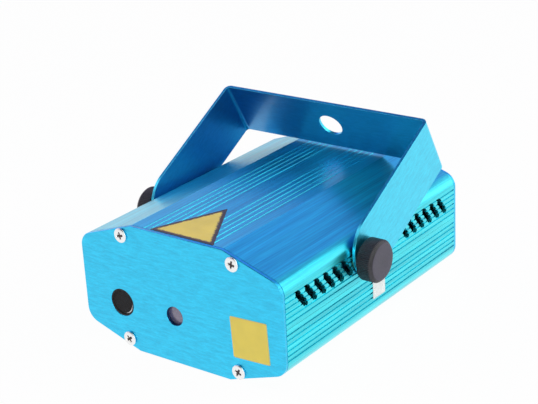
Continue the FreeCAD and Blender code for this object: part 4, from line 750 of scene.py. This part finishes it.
class PROJECTOR_OT_front_fittings(bpy.types.Operator):
    """Build the microphone and the beam window"""
    bl_idname = "projector.front_fittings"
    bl_label = "Microphone and window"

    def measures(self, node):
        """Foot at the back of a round fitting, its radius and its length."""
        middle = centre_of(node)
        size = size_of(node)
        foot = np.array([middle[0], box_of(node)[1][1], middle[2]])
        return foot, size[0] / 2, size[1]

    def microphone(self, look):
        """Can with a sloping rim, and a felt disc glued off its middle, h = H - c s^2 over r = s R."""
        rim, slant = 0.6 * MM, 0.12 * MM
        felt_thickness, felt_crown = 0.15 * MM, 0.03 * MM
        felt_shift = np.array([-0.2, 0.0, 0.2]) * MM
        easing = np.array([0.2, 0.03, 0.02]) * MM
        foot, radius, tall = self.measures("microphone")
        face = tall - felt_thickness
        corners = [(0, 0), (radius, 0), (radius, face - slant), (radius - rim, face), (0, face)]
        grid = carried(revolved(eased(corners, easing, 5), 72), FRONT, foot)
        metal = plain_metal("microphone_can", look.microphone_can, (2500.0, 2500.0, 2500.0), (0.16, 0.28))
        piece(skin("microphone_can", grid[None]), "housing", "microphone_metal", metal, "microphone")
        cover = radius - np.linalg.norm(felt_shift)
        s = np.linspace(1.0, 0.0, 9)
        crown = np.stack([cover * s, tall - felt_crown * s ** 2], axis=1)
        disc = np.vstack([[(0.0, face - slant), (cover, face - slant)], crown])
        grid = carried(revolved(disc, 48), FRONT, foot + felt_shift)
        piece(skin("microphone_felt", grid[None], crease=50.0), "housing", "microphone_metal",
              felt("microphone_felt", look.felt_black))

    def window(self, look):
        """Window: a flat disc with eased edges."""
        easing = 0.12 * MM
        foot, radius, tall = self.measures("aperture_window")
        lens = eased([(0, 0), (radius, 0), (radius, tall), (0, tall)], [easing, easing], 4)
        grid = carried(revolved(lens, 72), FRONT, foot)
        glass = coated_glass("beam_window", look.window_glass, look.window_tint, 0.2)
        piece(skin("beam_window_disc", grid[None]), "housing", "window_glass", glass, "aperture_window")

    def execute(self, context):
        look = context.scene.projector_finish
        self.microphone(look)
        self.window(look)
        return {"FINISHED"}


class PROJECTOR_OT_stickers(bpy.types.Operator):
    """Build the bare stickers on front, top and side"""
    bl_idname = "projector.stickers"
    bl_label = "Stickers"

    def corners_of(self, node, axes):
        """Corners of a node in the plane of two axes, in order round their middle."""
        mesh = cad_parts[node].data
        spots = np.empty(len(mesh.vertices) * 3)
        mesh.vertices.foreach_get("co", spots)
        spots = np.unique(np.round(spots.reshape(-1, 3) @ axes.T, 6), axis=0)
        turn = np.arctan2(*(spots - spots.mean(axis=0)).T[::-1])
        return spots[np.argsort(turn)]

    def build(self, name, node, axis, up, reach, slot, material):
        """Sticker: a thin pad on the node's own corners.

        Its inset attribute is (1 - s) times its apothem. It shrinks towards the middle of a triangle's
        inner circle, or else towards the corners' mean.
        """
        low, high = box_of(node)
        out = np.asarray(axis, float)
        thickness = float(np.abs((high - low) @ out))
        axes = np.stack([np.asarray(up, float), np.cross(out, up)])
        corners = self.corners_of(node, axes)
        edges = np.linalg.norm(np.roll(corners, -1, axis=0) - corners, axis=1)
        weights = np.roll(edges, -1) if len(corners) == 3 else np.ones(len(corners))
        middle = (corners * weights[:, None]).sum(axis=0) / weights.sum()
        corners = corners - middle
        following = np.roll(corners, -1, axis=0)
        area = abs((corners[:, 0] * following[:, 1] - corners[:, 1] * following[:, 0]).sum()) / 2
        apothem = 2 * area / edges.sum()
        insets = np.linspace(0.1, 2.0, 20) * MM
        shares = np.concatenate([[0.998], 1.0 - insets / apothem, [0.5, 0.25]])
        outline = closed_outline(corners, reach)
        rows = np.concatenate([[0.0, 0.0, 0.0], (1.0 - shares) * apothem, [apothem]])
        inset = np.repeat(rows[:, None], len(outline), axis=1)
        seat = (low if out.sum() > 0 else high) @ np.abs(out)
        grid = carried(pad(outline, thickness, shares), axis, middle @ axes + np.abs(out) * seat, up)
        made = skin(name, grid[None], crease=45.0, inset=inset[None])
        return piece(made, "housing", slot, material, node)

    def execute(self, context):
        look = context.scene.projector_finish
        line = context.scene.projector_sizes.sticker_line
        faded = 0.3 * MM
        lined = printed_sticker("lined_sticker", look.sticker_yellow, look.sticker_edge, line)
        plain = printed_sticker("plain_sticker", look.sticker_yellow, (0.80, 0.62, 0.22), faded)
        white = printed_sticker("white_sticker", look.sticker_white, (0.70, 0.78, 0.78), faded)
        self.build("front_sticker_bare", "front_sticker", FRONT, TOP, 0.7 * MM, "sticker_yellow", plain)
        self.build("top_sticker_bare", "top_sticker", TOP, RIGHT, 0.6 * MM, "sticker_yellow", lined)
        self.build("side_sticker_bare", "side_sticker", RIGHT, TOP, 0.4 * MM, "sticker_white", white)
        return {"FINISHED"}


class PROJECTOR_OT_rear_controls(bpy.types.Operator):
    """Build the dial, and finish switch, inlet and their marks"""
    bl_idname = "projector.rear_controls"
    bl_label = "Rear controls"

    def dial(self, sizes, material):
        """Dial: a profile turned about its axis, fluted by d (1 - cos(n a)) / 2 along its grip."""
        skirt_height, skirt_slope, skirt_inset = 1.4 * MM, 0.4 * MM, 0.5 * MM
        grip_inset, cap_drop, cap_inset = 0.7 * MM, 0.9 * MM, 1.5 * MM
        flute_foot, flute_rise = 1.6 * MM, 0.6 * MM
        flute_start, flute_fade = 0.5 * MM, 1.5 * MM
        easing = np.array([0.05, 0.1, 0.2, 0.3, 0.3, 0.4, 0.4]) * MM
        size = size_of("speed_dial")
        middle = centre_of("speed_dial")
        foot = np.array([middle[0], box_of("speed_dial")[0][1], middle[2]])
        radius, tall = size[0] / 2, size[1] - sizes.pointer_thickness
        bore = size_of("control_spindle")[0] / 2
        depth = box_of("control_spindle")[1][1] - foot[1]
        corners = [(0, depth), (bore, depth), (bore, 0), (radius, 0), (radius, skirt_height),
                   (radius - skirt_inset, skirt_height + skirt_slope),
                   (radius - grip_inset, tall - cap_drop), (radius - cap_inset, tall), (0, tall)]
        profile = eased(corners, easing, 5)
        grip = np.clip((profile[:, 1:2] - flute_foot) / flute_rise, 0.0, 1.0)
        grip = grip * np.clip((profile[:, :1] - bore - flute_start) / flute_fade, 0.0, 1.0)
        count = sizes.flute_count

        def ripple(a):
            return sizes.flute_depth * (0.5 - 0.5 * np.cos(a * count))

        grid = carried(revolved(np.hstack([profile, grip]), count * 10, ripple), REAR, foot)
        mesh = skin("speed_dial_fluted", grid[None], crease=40.0)
        piece(mesh, "dial", "knob_black", material, "speed_dial")
        return foot, radius, tall

    def bar(self, half_length, half_width, corner, thickness, steps):
        """Painted bar: a thin pad on a rectangle with eased corners."""
        corners = np.array([(1, 1), (1, -1), (-1, -1), (-1, 1)]) * (half_length, half_width)
        shares = np.array([0.92, 0.5])
        return pad(closed_outline(corners, corner, steps), thickness, shares)

    def pointer(self, foot, tall, thickness, material):
        """Painted bar on the dial's face, which points up at rest."""
        rise = 2.6 * MM
        grid = self.bar(1.7 * MM, 0.35 * MM, 0.25 * MM, thickness, 5)
        origin = foot + (0.0, tall, rise)
        mesh = skin("dial_pointer", carried(grid, REAR, origin, TOP)[None], crease=45.0)
        piece(mesh, "dial", "sticker_white", material)

    def scale(self, foot, radius, material):
        """Ticks on the rear plate round the dial's sweep, each a painted bar turned about its axis."""
        sweep, ticks = 150.0, 11
        gap = 2.0 * MM
        face = box_of("rear_plate")[1][1]
        grid = self.bar(0.8 * MM, 0.16 * MM, 0.1 * MM, 0.05 * MM, 4)
        grids = []
        for turn in np.radians(np.linspace(-sweep, sweep, ticks)):
            out = np.array([math.sin(turn), 0.0, math.cos(turn)])
            grids.append(carried(grid, REAR, (foot[0], face, foot[2]) + out * (radius + gap), out))
        mesh = skin("dial_scale", np.stack(grids), crease=45.0)
        piece(mesh, "housing", "sticker_white", material)

    def execute(self, context):
        look = context.scene.projector_finish
        sizes = context.scene.projector_sizes
        black = moulded("dial_plastic", look.knob_black, light=1.3, rough=(0.3, 0.48))
        gloss = moulded("switch_plastic", look.switch_black, rough=(0.2, 0.32), depth=0.1, coat_weight=0.2)
        paint = moulded("mark_paint", look.mark_white, rough=(0.45, 0.6), light=0.9)
        steel = plain_metal("control_steel", look.screw_steel, (2500.0, 2500.0, 2500.0))
        foot, radius, tall = self.dial(sizes, black)
        self.pointer(foot, tall, sizes.pointer_thickness, paint)
        self.scale(foot, radius, paint)
        edge = sizes.moulded_edge
        softened("switch_body", "switch_body_moulded", edge, "housing", "switch_black", gloss)
        softened("switch_rocker", "rocker_moulded", edge, "rocker", "switch_black", gloss)
        softened("power_jack", "power_jack_moulded", edge, "housing", "jack_black", gloss)
        dress(steel, "control_nut", "control_spindle")
        dress(plain_metal("control_can", (0.62, 0.63, 0.65), (900.0, 900.0, 900.0)), "speed_control")
        return {"FINISHED"}


class PROJECTOR_OT_works(bpy.types.Operator):
    """Finish the optics, drive, board and fan inside"""
    bl_idname = "projector.works"
    bl_label = "Inner works"

    def execute(self, context):
        look = context.scene.projector_finish
        milled = plain_metal("milled_aluminium", (0.74, 0.75, 0.77), (300.0, 4000.0, 300.0), (0.28, 0.5))
        barrel = plain_metal("laser_barrel", look.brass, (3000.0, 400.0, 3000.0), (0.2, 0.38))
        motor = plain_metal("motor_can", (0.60, 0.61, 0.62), (3500.0, 300.0, 3500.0), (0.25, 0.4))
        shaft = plain_metal("shaft_steel", look.screw_steel, (3000.0, 300.0, 3000.0))
        mirror = plain_metal("mirror_face", (0.93, 0.94, 0.95), (500.0, 500.0, 500.0), (0.02, 0.06), 0.97,
                             0.02)
        combiner = coated_glass("combiner_glass", (0.30, 0.34, 0.30), (0.42, 0.30, 0.36), 0.05)
        film = ruled_film("grating_film", (0.42, 0.44, 0.48), (0.62, 0.58, 0.68))
        gear = moulded("gear_acetal", (0.80, 0.80, 0.76), grain=1800.0, light=0.93, subsurface_weight=0.05)
        white = moulded("connector_nylon", (0.78, 0.77, 0.70), grain=2000.0, light=0.92)
        holder = moulded("holder_plastic", (0.015, 0.015, 0.017), rough=(0.5, 0.65))
        chip = moulded("chip_resin", (0.02, 0.02, 0.022), grain=3200.0, rough=(0.45, 0.6), depth=0.3)
        sleeve = moulded("capacitor_sleeve", (0.03, 0.035, 0.10), rough=(0.2, 0.32), coat_weight=0.3)
        fan = moulded("fan_plastic", (0.02, 0.02, 0.021), rough=(0.42, 0.56))
        rubber = moulded("grommet_rubber", (0.016, 0.016, 0.017), rough=(0.75, 0.9), depth=0.4)
        dress(milled, "optics_plate", "laser_block", "combiner_mount")
        dress(barrel, "green_laser", "red_laser")
        dress(motor, "drive_motor")
        dress(shaft, "motor_shaft")
        dress(mirror, "fold_mirror")
        dress(combiner, "combiner_plate")
        dress(film, "fixed_grating", "grating_disc")
        dress(gear, "grating_gear", "drive_pinion", "gear_retainer")
        dress(holder, "window_holder")
        dress(rubber, "microphone_grommet")
        dress(solder_mask("solder_mask", look.board_green), "main_board")
        dress(chip, "board_chips")
        dress(sleeve, "board_capacitors")
        dress(white, "board_connectors")
        dress(fan, "fan_frame", "fan_rotor")
        return {"FINISHED"}


class PROJECTOR_OT_stage(bpy.types.Operator):
    """Lay the floor, hang the lamps and set the camera"""
    bl_idname = "projector.stage"
    bl_label = "Studio"

    def floor(self, radius):
        """Floor: a flat disc, x = r cos a, y = r sin a, white to the camera and to reflections."""
        rings = np.stack([np.linspace(0.0, radius, 7), np.zeros(7)], axis=1)
        mesh = skin("floor", revolved(rings, 64)[None])
        made = Finish("pale_floor", (0.9, 0.9, 0.9))
        grain = made.between(made.grain(6.0, 2.0), 0.0, 1.0)
        tone = made.mixed(grain, (0.89, 0.89, 0.89), (0.91, 0.91, 0.91))
        card = made.node("ShaderNodeBsdfDiffuse", {"Color": tone})
        glow = made.node("ShaderNodeEmission", {"Color": (1.0, 1.0, 1.0, 1.0), "Strength": 1.0})
        path = made.node("ShaderNodeLightPath").outputs
        seen = path["Is Camera Ray"]
        for ray in ("Is Glossy Ray", "Is Transmission Ray"):
            seen = made.combined("MAXIMUM", seen, path[ray])
        share = made.combined("MULTIPLY", seen, FLOOR_WHITE)
        both = made.node("ShaderNodeMixShader", {0: share, 1: card.outputs[0], 2: glow.outputs[0]})
        made.join(both.outputs[0], made.tree.nodes["Material Output"].inputs["Surface"])
        made.tree.nodes.remove(made.shader)
        ground = bpy.data.objects.new("floor", mesh)
        bpy.context.scene.collection.objects.link(ground)
        mesh.materials.append(made.material)
        if mesh.polygons[0].normal.z < 0:
            mesh.flip_normals()

    def room(self):
        """World: tones by azimuth in a low and a middle band, blended upwards into the zenith's tone."""
        world = bpy.data.worlds.new("studio")
        bpy.context.scene.world = world
        world.use_nodes = True
        made = NodeTree(world.node_tree)
        where = made.node("ShaderNodeTexCoord").outputs["Generated"]
        parts = made.node("ShaderNodeSeparateXYZ", {0: where}).outputs
        turn = made.combined("ARCTAN2", parts["Y"], parts["X"])
        around = made.node("ShaderNodeMapRange", {0: turn, 1: -math.pi, 2: math.pi}).outputs[0]
        height = made.node("ShaderNodeMath", {0: parts["Z"]}, operation="ARCSINE").outputs[0]

        def ring(tones):
            """Tones round the room, each blended into the next and the last into the first."""
            ramp = made.node("ShaderNodeValToRGB", {0: around})
            stops = ramp.color_ramp.elements
            for index in range(1, len(tones)):
                stops.new(index / len(tones))
            for stop, tone in zip(stops, tones + tones[:1]):
                stop.color = rgba(tone)
            return ramp.outputs[0]

        def blend(start, end, first, second):
            """First tone below one elevation, second above another."""
            limits = {0: height, 1: math.radians(start), 2: math.radians(end)}
            return made.mixed(made.node("ShaderNodeMapRange", limits).outputs[0], first, second)

        low_end, middle_full, zenith_full = ROOM_BANDS
        walls = blend(low_end, middle_full, ring(ROOM_LOW), ring(ROOM_MIDDLE))
        sky = made.tree.nodes["Background"].inputs
        made.join(blend(middle_full, zenith_full, walls, ROOM_ZENITH), sky["Color"])
        made.join(ROOM_STRENGTH, sky["Strength"])

    def lamp(self, name, place, watts):
        """Square area lamp that faces the middle of the housing."""
        data = bpy.data.lights.new(name, "AREA")
        data.energy = watts
        data.size = LAMP_SIZE
        made = bpy.data.objects.new(name, data)
        bpy.context.scene.collection.objects.link(made)
        made.location = place
        made.rotation_euler = (Vector(SUBJECT) - Vector(place)).to_track_quat("-Z", "Y").to_euler()

    def camera(self, view):
        """Camera at azimuth a and elevation e: back = (sin a cos e, -cos a cos e, sin e), then rolled."""
        a, e, r = view.azimuth, view.elevation, view.roll
        back = np.array([math.sin(a) * math.cos(e), -math.cos(a) * math.cos(e), math.sin(e)])
        right = np.array([math.cos(a), math.sin(a), 0.0])
        up = np.cross(back, right)
        across = right * math.cos(r) + up * math.sin(r)
        axes = np.stack([across, up * math.cos(r) - right * math.sin(r), back])
        place = np.array(SUBJECT) + axes.T @ (-view.right_offset, view.down_offset, view.distance)
        data = bpy.data.cameras.new("camera")
        data.sensor_fit = "HORIZONTAL"
        data.sensor_width = SENSOR_MM
        data.lens = SENSOR_MM * view.focal_pixels / PHOTO_WIDTH
        data.clip_start = 0.01
        made = bpy.data.objects.new("camera", data)
        bpy.context.scene.collection.objects.link(made)
        whole = np.eye(4)
        whole[:3, :3] = axes.T
        whole[:3, 3] = place
        made.matrix_world = Matrix(whole.tolist())
        bpy.context.scene.camera = made

    def execute(self, context):
        view = context.scene.projector_stage
        self.floor(view.floor_radius)
        self.room()
        for name, place in LAMP_PLACES.items():
            self.lamp(name, place, getattr(view, name + "_watts"))
        self.camera(view)
        context.scene.view_settings.view_transform = "Standard"
        return {"FINISHED"}


class PROJECTOR_PT_panel(bpy.types.Panel):
    """Lists the steps and the values that they use"""
    bl_idname = "PROJECTOR_PT_panel"
    bl_label = "Laser show projector"
    bl_space_type = "VIEW_3D"
    bl_region_type = "UI"
    bl_category = "Projector"

    def draw(self, context):
        for step in STEPS:
            self.layout.operator(step.bl_idname)
        for name in GROUPS:
            group = getattr(context.scene, name)
            box = self.layout.box()
            for key in group.bl_rna.properties.keys():
                if key not in ("rna_type", "name"):
                    box.prop(group, key)


STEPS = (
    PROJECTOR_OT_shells, PROJECTOR_OT_plates, PROJECTOR_OT_bracket, PROJECTOR_OT_knobs, PROJECTOR_OT_screws,
    PROJECTOR_OT_front_fittings, PROJECTOR_OT_stickers, PROJECTOR_OT_rear_controls, PROJECTOR_OT_works,
    PROJECTOR_OT_stage,
)
GROUPS = {
    "projector_finish": ProjectorFinish,
    "projector_sizes": ProjectorSizes,
    "projector_stage": ProjectorStage,
}


def register():
    """Register the property groups, the steps and the panel."""
    for name, group in GROUPS.items():
        bpy.utils.register_class(group)
        setattr(bpy.types.Scene, name, PointerProperty(type=group))
    for step in STEPS + (PROJECTOR_PT_panel,):
        bpy.utils.register_class(step)


def unregister():
    """Take back what register has added."""
    for step in (PROJECTOR_PT_panel,) + STEPS[::-1]:
        bpy.utils.unregister_class(step)
    for name, group in GROUPS.items():
        delattr(bpy.types.Scene, name)
        bpy.utils.unregister_class(group)


def main():
    """Run every step in order."""
    register()
    for step in STEPS:
        group, name = step.bl_idname.split(".")
        getattr(getattr(bpy.ops, group), name)()
    bpy.context.view_layer.update()


if __name__ == "__main__":
    main()
